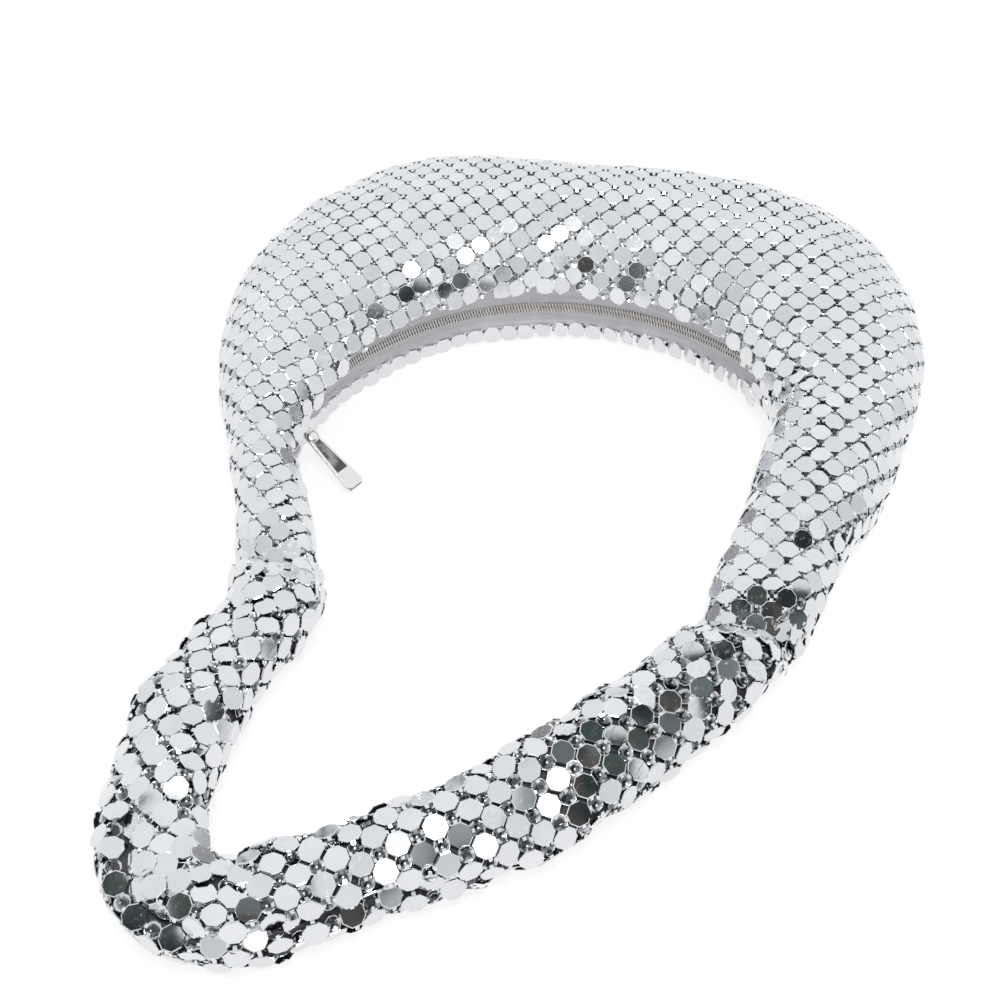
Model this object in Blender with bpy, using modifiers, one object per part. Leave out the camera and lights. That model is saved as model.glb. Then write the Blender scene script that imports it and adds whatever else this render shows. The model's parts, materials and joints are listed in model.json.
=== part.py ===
"""Evening clutch: a crescent pouch of linked metal plaques, a zipped mouth and a looped handle.

The bag lies on its back, with its mouth facing the hole of the handle. Units are metres and +Z is up.
The plan is drawn round the centre of the zip's arc. A root empty then carries the whole bag to where
the origin lies on the ground under the middle of its footprint.
"""
import math

import bmesh
import bpy
import numpy as np
from mathutils import Matrix, Vector

# Plan and height of the pouch and of its two arms
MOUTH_RADIUS = 0.084
BELLY_DEPTH = 0.073
POUCH_HEIGHT = 0.050
ARM_HEIGHT = 0.022
REST_FLAT = 0.0005
REST_FLAT_ANGLE = math.radians(14.0)
WAIST_DROP_SHARE = 0.14
UPPER_POWER = 2.2
LOWER_POWER = 2.4
LOWER_POWER_GAIN = 0.8
POUCH_RINGS = 38

# Cross-sections from the right arm's root to the left arm's root: bearings in degrees of the inner and
# outer edge, the inner edge's distance as a share of MOUTH_RADIUS, how much further out the outer edge
# lies as a share of BELLY_DEPTH, and the rise from ARM_HEIGHT to POUCH_HEIGHT. The roots lie on the
# fold line, which gives their distances.
RIGHT_ROOT_BEARINGS = (-54.5, -40.0)
LEFT_ROOT_BEARINGS = (206.0, 196.6)
CROSS_SECTION_SHARES = [
    (-31.0, -18.0, 0.660, 0.485, 0.09),
    (3.6, 3.2, 0.750, 0.620, 0.32),
    (26.0, 15.0, 0.960, 0.595, 0.53),
    (42.0, 31.0, 1.000, 0.875, 0.77),
    (58.0, 46.5, 1.000, 1.062, 0.89),
    (76.0, 66.0, 1.000, 0.965, 0.95),
    (94.0, 86.0, 1.000, 0.885, 0.98),
    (112.0, 107.0, 1.000, 1.070, 0.94),
    (129.0, 120.0, 1.000, 1.039, 0.83),
    (145.0, 137.5, 1.000, 0.849, 0.64),
    (159.0, 153.0, 1.000, 0.599, 0.42),
    (170.5, 168.5, 0.985, 0.357, 0.19),
    (186.0, 184.0, 0.905, 0.335, 0.09),
]

# Fold line between the pouch and the handle
FOLD_SETBACK_SHARE = 0.545
FOLD_SETBACK = FOLD_SETBACK_SHARE * MOUTH_RADIUS
FOLD_SLANT = math.radians(-10.0)
FOLD_RANGE = math.radians(60.0)
FOLD_GAP = 0.0003
NOTCH_DROP = 0.0006

# Handle: its width, and its centre line from the right root to the left root. Each row holds the
# distance along the fold line as a share of MOUTH_RADIUS, the distance past the fold line as a share of
# HANDLE_LENGTH, and the width as a share of HANDLE_WIDTH
HANDLE_WIDTH = 0.030
HANDLE_LENGTH = 0.109
HANDLE_RINGS = 60
HANDLE_SHARES = [
    (0.494, 0.293, 1.11),
    (0.260, 0.482, 1.08),
    (0.025, 0.650, 1.00),
    (-0.220, 0.778, 0.92),
    (-0.501, 0.914, 0.97),
    (-0.698, 1.004, 0.98),
    (-0.905, 0.972, 0.96),
    (-1.018, 0.832, 0.96),
    (-1.056, 0.665, 0.97),
    (-1.054, 0.484, 0.94),
    (-0.981, 0.302, 0.96),
    (-0.909, 0.146, 0.94),
]
LEAST_SPREAD_SHARE = 0.6
CORE_EASE = 0.0004
CORE_POINTS = 40

# Folds: the groove that winds along the front of the handle, with the shares of its rows between which
# it runs and its angles there, the handle's flat places, and the crease above the fold line. Each flat
# row holds its share of the rows and its angle in degrees, how far it reaches in both, and its depth as a
# share of ARM_HEIGHT
GROOVE_DEPTH_SHARE = 0.173
GROOVE_DEPTH = GROOVE_DEPTH_SHARE * ARM_HEIGHT
GROOVE_REACH = math.radians(13.8)
GROOVE_RUN_SHARES = (0.29, 0.63)
GROOVE_EASE_SHARE = 0.10
GROOVE_ANGLES = (math.radians(3.1), math.radians(66.9))
FLAT_SHARES = [
    (0.22, 60.0, 0.12, 36.0, 0.118),
    (0.66, 50.0, 0.08, 34.0, 0.082),
    (0.83, 70.0, 0.07, 34.0, 0.073),
]
CREASE_DEPTH_SHARE = 0.127
CREASE_REACH = 0.0045
CREASE_LEVEL_SHARES = (0.4, 0.9)

# Cloth thicknesses and the gaps between touching pieces
MESH_THICKNESS = 0.0012
LINING_THICKNESS = 0.0006
TAPE_THICKNESS = 0.0005
GAP = 0.0003
LINING_EASE = 0.0009
LINING_SETBACK = 0.0065
LINING_START = 22.0
LINING_END = 174.0
TAPE_TUCK = 0.0040
EDGE_STRIP = 0.0010

# Mouth: where the two rims stand as shares of the height, and the bearings between which it opens
RIM_HIGH_SHARE = 0.54
RIM_LOW_SHARE = 0.09
MOUTH_START = 33.0
MOUTH_END = 174.0
MOUTH_EASE = 9.0

# Zip, whose bearings are in degrees
ZIP_INSET = 0.008
ZIP_RADIUS = MOUTH_RADIUS + ZIP_INSET
ZIP_LEVEL = 0.013
SLIDER_BEARING = 160.4
SLIDER_TRAVEL = 113.0
COIL_MARGIN = 3.5
ZIP_START = SLIDER_BEARING - SLIDER_TRAVEL - COIL_MARGIN
ZIP_END = SLIDER_BEARING + COIL_MARGIN
TAPE_START = 39.0
TAPE_END = 167.0
COIL_RADIUS = 0.0009
COIL_PARTING = 0.0010
COIL_POINTS = 34
STRAIGHT_TAPE = 0.0045
TAPE_RINGS = 34
STOP_LENGTH = 0.0024
STOP_DEPTH = 0.0022
STOP_ROUNDING = 0.0004

# Slider
SLIDER_LENGTH = 0.0090
SLIDER_WIDTH = 0.0076
PLATE_THICKNESS = 0.0010
SLIDER_ROUNDING = 0.0006
CHANNEL_EASE = 0.00045
POST_THICKNESS = 0.0004
POST_LENGTH = 0.0040
BRIDGE_WIRE = 0.00065
BRIDGE_SPAN = 0.0060
BRIDGE_RISE = 0.0028
BRIDGE_POWER = 4
BRIDGE_POINTS = 13

# Pull
PULL_LENGTH = 0.0258
PULL_NECK_WIDTH = 0.0036
PULL_END_WIDTH = 0.0070
PULL_THICKNESS = 0.0016
PULL_ROUNDING = 0.0003
PULL_DROOP = math.radians(24.7)
PULL_TWIST = math.radians(22.4)
EYE_RADIUS = 0.0025
EYE_BORE = 0.0015
EYE_LENGTH = 0.0022
PULL_CORNER = 0.0009
RECESS_BORDER = 0.0008
RECESS_START = 0.0055
RECESS_DEPTH = 0.0004
END_BLOCK = 0.0070

# How far a cutter runs past what it cuts, the sides of a turned piece, and the small step, as a share of
# a row or in radians, over which a direction is measured
OVERRUN = 0.005
ROUND_SIDES = 24
STEP_SHARE = 0.02

# Finishes: base colour, metallic and roughness
SILVER = ((0.78, 0.79, 0.80), 1.0, 0.22)
SATIN = ((0.34, 0.32, 0.31), 0.0, 0.60)
NYLON = ((0.52, 0.48, 0.42), 0.2, 0.45)
WADDING = ((0.40, 0.40, 0.40), 0.0, 0.90)


def clear_scene():
    """Remove every object that the scene starts with."""
    for leftover in list(bpy.data.objects):
        bpy.data.objects.remove(leftover, do_unlink=True)


def new_collection(name):
    """Link a new collection to the scene."""
    collection = bpy.data.collections.new(name)
    bpy.context.scene.collection.children.link(collection)
    return collection


def plan_point(bearing, radius):
    """Point in plan at a bearing in degrees and a distance from the zip's centre."""
    angle = math.radians(bearing)
    return radius * np.array([math.cos(angle), math.sin(angle)])


def fold_direction():
    """Unit vector in plan along the fold line."""
    return np.array([math.cos(FOLD_SLANT), math.sin(FOLD_SLANT)])


def fold_normal():
    """Unit vector in plan from the pouch towards the handle, square to the fold line."""
    return np.array([math.sin(FOLD_SLANT), -math.cos(FOLD_SLANT)])


def root_span(bearings):
    """Inner and outer edge of a root, where two bearings meet the fold line."""
    ends = []
    for bearing in bearings:
        direction = plan_point(bearing, 1.0)
        ends.append(direction * FOLD_SETBACK / np.dot(direction, fold_normal()))
    return ends


def catmull_rom(rows, place):
    """Smooth value between rows of numbers, at a place from 0 to the last row's number."""
    last = len(rows) - 1
    first = min(int(place), last - 1)
    step = place - first
    start = rows[first]
    end = rows[first + 1]
    before = rows[first - 1] if first > 0 else 2 * start - end
    after = rows[first + 2] if first + 2 <= last else 2 * end - start
    return 0.5 * (2 * start + (end - before) * step
                  + (2 * before - 5 * start + 4 * end - after) * step ** 2
                  + (3 * start - before - 3 * end + after) * step ** 3)


def pouch_rows():
    """Bearings, edge distances and rise of every cross-section, roots included."""
    rows = [(bi, bo, inner * MOUTH_RADIUS, inner * MOUTH_RADIUS + depth * BELLY_DEPTH, rise)
            for bi, bo, inner, depth, rise in CROSS_SECTION_SHARES]
    ends = []
    for bearings in (RIGHT_ROOT_BEARINGS, LEFT_ROOT_BEARINGS):
        inner, outer = root_span(bearings)
        ends.append((*bearings, np.linalg.norm(inner), np.linalg.norm(outer), 0.0))
    return np.array([ends[0], *rows, ends[1]])


POUCH_ROWS = pouch_rows()
LAST_PLACE = len(POUCH_ROWS) - 1


def pouch_span(place):
    """Inner edge, outer edge, height and rise of the pouch's cross-section at a place."""
    inner_bearing, outer_bearing, inner, outer, rise = catmull_rom(POUCH_ROWS, place)
    height = ARM_HEIGHT + rise * (POUCH_HEIGHT - ARM_HEIGHT)
    return plan_point(inner_bearing, inner), plan_point(outer_bearing, outer), height, rise


def place_at_bearing(bearing):
    """Place of the cross-section whose inner edge is at a bearing."""
    places = np.linspace(0, LAST_PLACE, 20 * LAST_PLACE + 1)
    bearings = [catmull_rom(POUCH_ROWS, place)[0] for place in places]
    return float(np.interp(bearing, bearings, places))


def waist_height(span):
    """Height of the widest level of a cross-section."""
    return span[2] * (0.5 - WAIST_DROP_SHARE * span[3])


def lower_power(span):
    """Squareness of the lower half of a cross-section."""
    return LOWER_POWER + LOWER_POWER_GAIN * span[3]


def section(span, angles):
    """Points round a cross-section: angle 0 is its outer edge, 90 its crest, 180 its inner wall."""
    inner, outer, height, _ = span
    waist = waist_height(span)
    angles = np.asarray(angles)
    sine = np.sin(angles)
    cosine = np.cos(angles)
    power = np.where(sine >= 0, UPPER_POWER, lower_power(span))
    across = np.sign(cosine) * np.abs(cosine) ** (2 / power)
    lift = np.abs(sine) ** (2 / power)
    above = waist + (height - waist) * lift
    below = np.maximum(0.0, waist - (waist + REST_FLAT) * lift)
    plan = (inner + outer) / 2 + np.outer(across, (outer - inner) / 2)
    return np.column_stack([plan, np.where(sine >= 0, above, below)])


def upper_angle(span, level):
    """Angle past the waist at which the upper half reaches a level."""
    waist = waist_height(span)
    return math.asin(max(0.0, (level - waist) / (span[2] - waist)) ** (UPPER_POWER / 2))


def lower_angle(span, level):
    """Angle past the waist at which the lower half reaches a level."""
    waist = waist_height(span)
    return math.asin(max(0.0, (waist - level) / (waist + REST_FLAT)) ** (lower_power(span) / 2))


def smooth_share(value):
    """Ease from 0 to 1 with level ends."""
    value = min(max(value, 0.0), 1.0)
    return value * value * (3 - 2 * value)


def mouth_share(bearing):
    """How far the mouth is open at a bearing, from 0 where the rims meet to 1."""
    rising = smooth_share((bearing - MOUTH_START) / MOUTH_EASE)
    return rising * smooth_share((MOUTH_END - bearing) / MOUTH_EASE)


def rim_angles(span):
    """Angles of the front panel's rim and the back panel's rim."""
    waist = waist_height(span)
    bearing = math.degrees(math.atan2(span[0][1], span[0][0])) % 360
    share = mouth_share(bearing)
    closed_high = upper_angle(span, waist + GAP / 2)
    closed_low = lower_angle(span, waist - GAP / 2)
    open_high = upper_angle(span, RIM_HIGH_SHARE * span[2])
    open_low = lower_angle(span, RIM_LOW_SHARE * span[2])
    high = math.pi - closed_high - share * (open_high - closed_high)
    low = math.pi + closed_low + share * (open_low - closed_low)
    return high, low


def angle_past(span, start, distance, turn):
    """Angle that lies a distance along the cross-section from a start angle, turning +1 or -1."""
    angles = start + turn * np.linspace(0, math.pi / 2, 200)
    points = section(span, angles)
    run = np.concatenate([[0.0], np.cumsum(np.linalg.norm(np.diff(points, axis=0), axis=1))])
    return float(np.interp(distance, run, angles))


def front_angles(span):
    """Angles of the front panel from the outer seam to the rim."""
    seam = upper_angle(span, waist_height(span) + GAP / 2)
    high, _ = rim_angles(span)
    inset = angle_past(span, high, LINING_SETBACK, -1)
    start = angle_past(span, seam, EDGE_STRIP, 1)
    edge = [angle_past(span, high, distance, -1) for distance in (TAPE_TUCK, EDGE_STRIP)]
    return [seam, *np.linspace(start, inset, 8), *edge, high]


def back_angles(span):
    """Angles of the back panel from the rim to the outer seam, with two spans on the flat."""
    seam = lower_angle(span, waist_height(span) - GAP / 2)
    _, low = rim_angles(span)
    bottom = 1.5 * math.pi
    flat = REST_FLAT_ANGLE
    inset = min(angle_past(span, low, LINING_SETBACK, 1), bottom - 1.6 * flat)
    near = np.linspace(inset, bottom - flat, 4)
    end = 2 * math.pi - seam
    far = np.linspace(bottom + flat, angle_past(span, end, EDGE_STRIP, -1), 4)
    edge = [angle_past(span, low, distance, 1) for distance in (EDGE_STRIP, TAPE_TUCK)]
    return [low, *edge, *near, bottom, *far, end]


def bump(offsets, reach):
    """Smooth bump of height 1, at offsets from its middle."""
    return np.exp(-(offsets / reach) ** 2)


def crease_depths(points):
    """How deep the crease above the fold line is at points of a cross-section."""
    past = points[:, :2] @ fold_normal() - FOLD_SETBACK
    low, high = (share * ARM_HEIGHT for share in CREASE_LEVEL_SHARES)
    above = np.array([smooth_share((level - low) / (high - low)) for level in points[:, 2]])
    return CREASE_DEPTH_SHARE * ARM_HEIGHT * above * bump(past, CREASE_REACH)


def folded_section(span, angles, depth=0.0):
    """Points round a cross-section, sunk by the crease and by a depth of their own."""
    points = section(span, angles)
    depths = crease_depths(points) + depth
    across = (span[1] - span[0]) / np.linalg.norm(span[1] - span[0])
    points[:, :2] -= np.outer(np.cos(angles) * depths, across)
    points[:, 2] -= np.sin(angles) * depths
    return points


def pouch_grid(places, angles_of):
    """Grid of points on the pouch, one row to a cross-section."""
    return np.array([folded_section(span, angles_of(span)) for span in map(pouch_span, places)])


def inward(grid, depth, closed=False):
    """The grid moved into the tube by a depth, along its own normals."""
    along = np.gradient(grid, axis=0)
    if closed:
        around = (np.roll(grid, -1, axis=1) - np.roll(grid, 1, axis=1)) / 2
    else:
        around = np.gradient(grid, axis=1)
    normal = np.cross(around, along)
    normal /= np.linalg.norm(normal, axis=2, keepdims=True)
    middle = grid.mean(axis=1, keepdims=True)
    if np.sum(normal * (middle - grid)) < 0:
        normal = -normal
    return grid + depth * normal


def handle_line():
    """Rows of the handle's centre line: plan point and half width, from root to root."""
    right_inner, right_outer = root_span(RIGHT_ROOT_BEARINGS)
    left_inner, left_outer = root_span(LEFT_ROOT_BEARINGS)
    rows = [(*(right_inner + right_outer) / 2, np.linalg.norm(right_outer - right_inner) / 2)]
    for aside, away, width in HANDLE_SHARES:
        centre = aside * MOUTH_RADIUS * fold_direction()
        centre = centre + (FOLD_SETBACK + away * HANDLE_LENGTH) * fold_normal()
        rows.append((*centre, width * HANDLE_WIDTH / 2))
    rows.append((*(left_inner + left_outer) / 2, np.linalg.norm(left_outer - left_inner) / 2))
    return np.array(rows)


def handle_span(rows, place):
    """Inner edge, outer edge, height and rise of the handle's cross-section at a place."""
    last = len(rows) - 1
    here = catmull_rom(rows, place)
    ahead = catmull_rom(rows, min(place + STEP_SHARE, last))
    behind = catmull_rom(rows, max(place - STEP_SHARE, 0))
    travel = (ahead - behind)[:2]
    travel /= np.linalg.norm(travel)
    outward = np.array([travel[1], -travel[0]])
    if np.dot(outward, here[:2]) < 0:
        outward = -outward
    near_right = max(0.0, 1 - place)
    near_left = max(0.0, 1 - (last - place))
    spread = outward * (1 - near_right) * (1 - near_left) + fold_direction() * (near_right - near_left)
    spread /= np.linalg.norm(spread)
    own = here[2] * (near_right + near_left)
    slanted = here[2] / max(LEAST_SPREAD_SHARE, abs(np.dot(spread, outward)))
    half = own + slanted * (1 - near_right - near_left)
    return here[:2] - spread * half, here[:2] + spread * half, ARM_HEIGHT, 0.0


def handle_angles():
    """Angles round the handle, with two spans on the flat that rests on the ground."""
    flat = REST_FLAT_ANGLE
    bottom = 1.5 * math.pi
    lower_near = np.linspace(math.pi, bottom - flat, 5)
    lower_far = np.linspace(bottom + flat, 2 * math.pi, 5)[:-1]
    return [*np.linspace(0, math.pi, 19)[:-1], *lower_near, bottom, *lower_far]


def handle_depths(share, angles):
    """How deep the groove and the flat places are at a share of the handle's rows and at angles."""
    angles = (np.asarray(angles) + math.pi) % (2 * math.pi) - math.pi
    start, end = GROOVE_RUN_SHARES
    middle = np.interp(share, GROOVE_RUN_SHARES, GROOVE_ANGLES)
    run = smooth_share((share - start) / GROOVE_EASE_SHARE + 0.5)
    run *= smooth_share((end - share) / GROOVE_EASE_SHARE + 0.5)
    depths = GROOVE_DEPTH * run * bump(angles - middle, GROOVE_REACH)
    for place, turn, length, width, depth in FLAT_SHARES:
        turned = bump(angles - math.radians(turn), math.radians(width))
        depths = depths + depth * ARM_HEIGHT * bump(share - place, length) * turned
    return depths


def handle_grid():
    """Grid of points on the handle, one row to a cross-section."""
    rows = handle_line()
    last = len(rows) - 1
    angles = handle_angles()
    return np.array([folded_section(handle_span(rows, place), angles, handle_depths(place / last, angles))
                     for place in np.linspace(0, last, HANDLE_RINGS)])


def make_material(name, finish):
    """Principled material of one plain finish."""
    colour, metallic, roughness = finish
    material = bpy.data.materials.new(name)
    material.use_nodes = True
    shader = material.node_tree.nodes["Principled BSDF"]
    shader.inputs["Base Color"].default_value = (*colour, 1.0)
    shader.inputs["Metallic"].default_value = metallic
    shader.inputs["Roughness"].default_value = roughness
    return material


def add_object(name, data, group, material=None):
    """Object on a mesh or curve, in a collection."""
    piece = bpy.data.objects.new(name, data)
    group.objects.link(piece)
    if material:
        data.materials.append(material)
    return piece


def add_grid(name, grid, group, material, closed=False):
    """Open sheet of quads on a grid of points, or a tube if the rows are closed."""
    shape = bmesh.new()
    rows = [[shape.verts.new(point) for point in row] for row in grid]
    columns = len(rows[0])
    for row, following in zip(rows, rows[1:]):
        for index in range(columns if closed else columns - 1):
            beside = (index + 1) % columns
            shape.faces.new((row[index], row[beside], following[beside], following[index]))
    mesh = bpy.data.meshes.new(name)
    shape.to_mesh(mesh)
    shape.free()
    mesh.shade_smooth()
    return add_object(name, mesh, group, material)


def thicken(piece, thickness):
    """Give an outward-facing sheet its thickness, on its inner side."""
    solid = piece.modifiers.new("thickness", "SOLIDIFY")
    solid.thickness = thickness
    solid.offset = -1
    solid.use_even_offset = True
    solid.use_quality_normals = True


def boolean(piece, other, operation):
    """Cut a piece with another object, or join them."""
    step = piece.modifiers.new(operation.lower(), "BOOLEAN")
    step.operation = operation
    step.solver = "EXACT"
    step.object = other


def as_cutter(piece):
    """Hide an object that only shapes others."""
    piece.hide_render = True
    piece.display_type = "WIRE"
    return piece


def curve_to_mesh(piece, group):
    """Replace a curve object by its mesh, with the caps welded."""
    bpy.context.view_layer.update()
    graph = bpy.context.evaluated_depsgraph_get()
    mesh = bpy.data.meshes.new_from_object(piece.evaluated_get(graph))
    shape = bmesh.new()
    shape.from_mesh(mesh)
    bmesh.ops.remove_doubles(shape, verts=shape.verts, dist=GAP / 100)
    shape.to_mesh(mesh)
    shape.free()
    name = piece.name
    placed = piece.matrix_world.copy()
    bpy.data.objects.remove(piece, do_unlink=True)
    solid = bpy.data.objects.new(name, mesh)
    solid.matrix_world = placed
    group.objects.link(solid)
    return solid


def add_wire(name, points, radius, group, material):
    """Round wire through points, with closed ends."""
    curve = bpy.data.curves.new(name, "CURVE")
    curve.dimensions = "3D"
    curve.bevel_depth = radius
    curve.bevel_resolution = 2
    curve.use_fill_caps = True
    spline = curve.splines.new("POLY")
    spline.points.add(len(points) - 1)
    for slot, point in zip(spline.points, points):
        slot.co = (*point, 1.0)
    return add_object(name, curve, group, material)


def add_outline(name, outline, half_depth, group):
    """Flat plate with a closed outline in its own XY plane, made a mesh."""
    curve = bpy.data.curves.new(name, "CURVE")
    curve.dimensions = "2D"
    curve.fill_mode = "BOTH"
    curve.extrude = half_depth
    spline = curve.splines.new("POLY")
    spline.points.add(len(outline) - 1)
    for slot, (x, y) in zip(spline.points, outline):
        slot.co = (x, y, 0.0, 1.0)
    spline.use_cyclic_u = True
    return curve_to_mesh(add_object(name, curve, group), group)


def add_box(name, size, place, group, material=None, rounding=0.0):
    """Box of a size, centred on a place matrix, with rounded edges if asked."""
    shape = bmesh.new()
    bmesh.ops.create_cube(shape, size=1.0, matrix=Matrix.Diagonal((*size, 1.0)))
    mesh = bpy.data.meshes.new(name)
    shape.to_mesh(mesh)
    shape.free()
    piece = add_object(name, mesh, group, material)
    piece.matrix_world = place
    if rounding:
        bevel = piece.modifiers.new("rounded edges", "BEVEL")
        bevel.width = rounding
        bevel.segments = 2
    return piece


def add_rod(name, radius, length, place, group):
    """Cylinder whose axis is the X axis of a place matrix."""
    shape = bmesh.new()
    bmesh.ops.create_cone(shape, cap_ends=True, segments=ROUND_SIDES, radius1=radius, radius2=radius,
                          depth=length, matrix=Matrix.Rotation(math.pi / 2, 4, "Y"))
    mesh = bpy.data.meshes.new(name)
    shape.to_mesh(mesh)
    shape.free()
    piece = add_object(name, mesh, group)
    piece.matrix_world = place
    return piece


def zip_place(bearing, inward_shift=0.0, rise=0.0):
    """Frame on the zip: X along it, Y towards the handle's hole and Z up."""
    x, y = plan_point(bearing, ZIP_RADIUS - inward_shift)
    turn = Matrix.Rotation(math.radians(bearing + 90), 4, "Z")
    return Matrix.Translation((x, y, ZIP_LEVEL + rise)) @ turn


def arc_points(start, end, radius, level, count):
    """Points along a level arc round the zip's centre."""
    return [(*plan_point(bearing, radius), level) for bearing in np.linspace(start, end, count)]


def make_fold_cutter(name, side, group):
    """Block that trims one side's cloth at the fold line and leans it back above the fold's axis."""
    half_gap = FOLD_GAP / 2
    top = ARM_HEIGHT / 2 + OVERRUN
    wide = (top + NOTCH_DROP) * math.tan(FOLD_RANGE / 2)
    low = -top
    knee = half_gap / math.tan(FOLD_RANGE / 2) - NOTCH_DROP
    outline = [(-half_gap, low), (OVERRUN, low), (OVERRUN, top), (-wide, top), (-half_gap, knee)]
    cutter = add_outline(name, [(side * x, y) for x, y in outline], 2 * MOUTH_RADIUS, group)
    normal = Vector((*fold_normal(), 0.0))
    upward = Vector((0.0, 0.0, 1.0))
    axes = Matrix((normal, upward, normal.cross(upward))).transposed().to_4x4()
    foot = (*(fold_normal() * FOLD_SETBACK), ARM_HEIGHT / 2)
    cutter.matrix_world = Matrix.Translation(foot) @ axes
    return as_cutter(cutter)


def make_panels(parts, cutter):
    """Front and back panels of linked plaques."""
    places = np.linspace(0, LAST_PLACE, POUCH_RINGS)
    panels = []
    for name, angles_of in (("front_panel", front_angles), ("back_panel", back_angles)):
        grid = pouch_grid(places, angles_of)
        panel = add_grid(name, grid, parts, make_material(name, SILVER))
        crest = 1 if name == "front_panel" else -1
        if sum(face.normal.z * face.area for face in panel.data.polygons) * crest < 0:
            panel.data.flip_normals()
        thicken(panel, MESH_THICKNESS)
        boolean(panel, cutter, "DIFFERENCE")
        panels.append(panel)
    return panels


def make_lining(parts):
    """Two lining panels inside the pouch, and the two panels that close its ends."""
    first = place_at_bearing(LINING_START)
    final = place_at_bearing(LINING_END)
    everywhere = np.linspace(0, LAST_PLACE, POUCH_RINGS)
    kept = np.flatnonzero((everywhere >= first) & (everywhere <= final))
    depth = MESH_THICKNESS + LINING_EASE
    pieces = []
    for name, angles_of, upward in (("lining_front", front_angles, 1), ("lining_back", back_angles, -1)):
        grid = inward(pouch_grid(everywhere, angles_of), depth)[kept]
        grid = grid[:, :-3] if upward > 0 else grid[:, 3:]
        panel = add_grid(name, grid, parts, make_material(name, SATIN))
        if sum(face.normal.z * face.area for face in panel.data.polygons) * upward < 0:
            panel.data.flip_normals()
        thicken(panel, LINING_THICKNESS)
        pieces.append(panel)
    for name, index, side in (("lining_end_right", kept[0], -1), ("lining_end_left", kept[-1], 1)):
        pieces.append(make_lining_end(name, everywhere, index, side, parts))
    return pieces


def make_lining_end(name, places, index, side, parts):
    """Flat panel that closes the lining where an arm begins."""
    depth = MESH_THICKNESS + LINING_EASE + LINING_THICKNESS
    span = pouch_span(places[index])
    inner, outer, height, rise = span
    across = (outer - inner) / np.linalg.norm(outer - inner)
    edge = depth / abs(np.dot(across, inner / np.linalg.norm(inner)))
    small = (inner + edge * across, outer - edge * across, height - 2 * depth, rise)
    ring = section(small, np.linspace(0, 2 * math.pi, ROUND_SIDES + 1)[:-1])
    ring[:, 2] += depth
    neighbour = pouch_span(places[index + side])
    travel = (neighbour[0] + neighbour[1] - inner - outer) / 2
    normal = np.array([across[1], -across[0]])
    normal *= np.sign(np.dot(normal, travel))
    ring[:, :2] += normal * (LINING_THICKNESS + 2 * GAP)
    shape = bmesh.new()
    face = shape.faces.new([shape.verts.new(point) for point in ring])
    face.normal_update()
    if face.normal.dot(Vector((*normal, 0.0))) < 0:
        face.normal_flip()
    mesh = bpy.data.meshes.new(name)
    shape.to_mesh(mesh)
    shape.free()
    panel = add_object(name, mesh, parts, make_material(name, SATIN))
    thicken(panel, LINING_THICKNESS)
    return panel


def tape_profile(place, side):
    """Points of a zip tape from its chain edge to where it is tucked behind the rim."""
    span = pouch_span(place)
    bearing = math.degrees(math.atan2(span[0][1], span[0][0])) % 360
    rim = rim_angles(span)[0 if side > 0 else 1]
    tucked = angle_past(span, rim, TAPE_TUCK, -side)
    depth = MESH_THICKNESS + GAP
    around = [pouch_span(place + side_step * STEP_SHARE / 2) for side_step in (-1, 0, 1)]
    strip = np.array([section(near, [rim - side * STEP_SHARE, rim, tucked]) for near in around])
    under = inward_of(span, strip, depth)
    chain_edge = COIL_PARTING / 2 + 2 * COIL_RADIUS + GAP
    radius = ZIP_RADIUS - TAPE_THICKNESS / 2
    near_chain = (*plan_point(bearing, radius), ZIP_LEVEL + side * chain_edge)
    bend = (*plan_point(bearing, radius), ZIP_LEVEL + side * STRAIGHT_TAPE)
    return [near_chain, bend, under[1], under[2]]


def inward_of(span, strip, depth):
    """The middle row of a three-row strip moved into the pouch by a depth."""
    along = strip[2] - strip[0]
    around = np.gradient(strip[1], axis=0)
    normal = np.cross(around, along)
    normal /= np.linalg.norm(normal, axis=1, keepdims=True)
    centre = np.array([*(span[0] + span[1]) / 2, waist_height(span)])
    if np.sum(normal * (centre - strip[1])) < 0:
        normal = -normal
    return strip[1] + depth * normal


def make_tapes(parts):
    """The two zip tapes, each from its coil to behind its rim."""
    tapes = []
    first = place_at_bearing(TAPE_START)
    final = place_at_bearing(TAPE_END)
    for name, side in (("zip_tape_upper", 1), ("zip_tape_lower", -1)):
        grid = np.array([tape_profile(place, side) for place in np.linspace(first, final, TAPE_RINGS)])
        tape = add_grid(name, grid, parts, make_material(name, SATIN))
        towards_hole = sum(-(face.center.xy.normalized()).dot(face.normal.xy) * face.area
                           for face in tape.data.polygons)
        if towards_hole < 0:
            tape.data.flip_normals()
        thicken(tape, TAPE_THICKNESS)
        tapes.append(tape)
    return tapes


def make_chain(parts):
    """The two coils of the zip and the stops at its ends."""
    pieces = []
    offset = COIL_PARTING / 2 + COIL_RADIUS
    for name, side in (("zip_coil_upper", 1), ("zip_coil_lower", -1)):
        level = ZIP_LEVEL + side * offset
        points = arc_points(ZIP_START, ZIP_END, ZIP_RADIUS, level, COIL_POINTS)
        pieces.append(add_wire(name, points, COIL_RADIUS, parts, make_material(name, NYLON)))
    reach = math.degrees((STOP_LENGTH / 2 + GAP) / ZIP_RADIUS)
    for name, side in (("zip_top_stop_upper", 1), ("zip_top_stop_lower", -1)):
        size = (STOP_LENGTH, STOP_DEPTH, 2 * COIL_RADIUS)
        place = zip_place(ZIP_END + reach, rise=side * offset)
        pieces.append(add_box(name, size, place, parts, make_material(name, SILVER), STOP_ROUNDING))
    size = (STOP_LENGTH, STOP_DEPTH, COIL_PARTING + 4 * COIL_RADIUS)
    name = "zip_bottom_stop"
    place = zip_place(ZIP_START - reach)
    pieces.append(add_box(name, size, place, parts, make_material(name, SILVER), STOP_ROUNDING))
    return pieces


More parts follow.
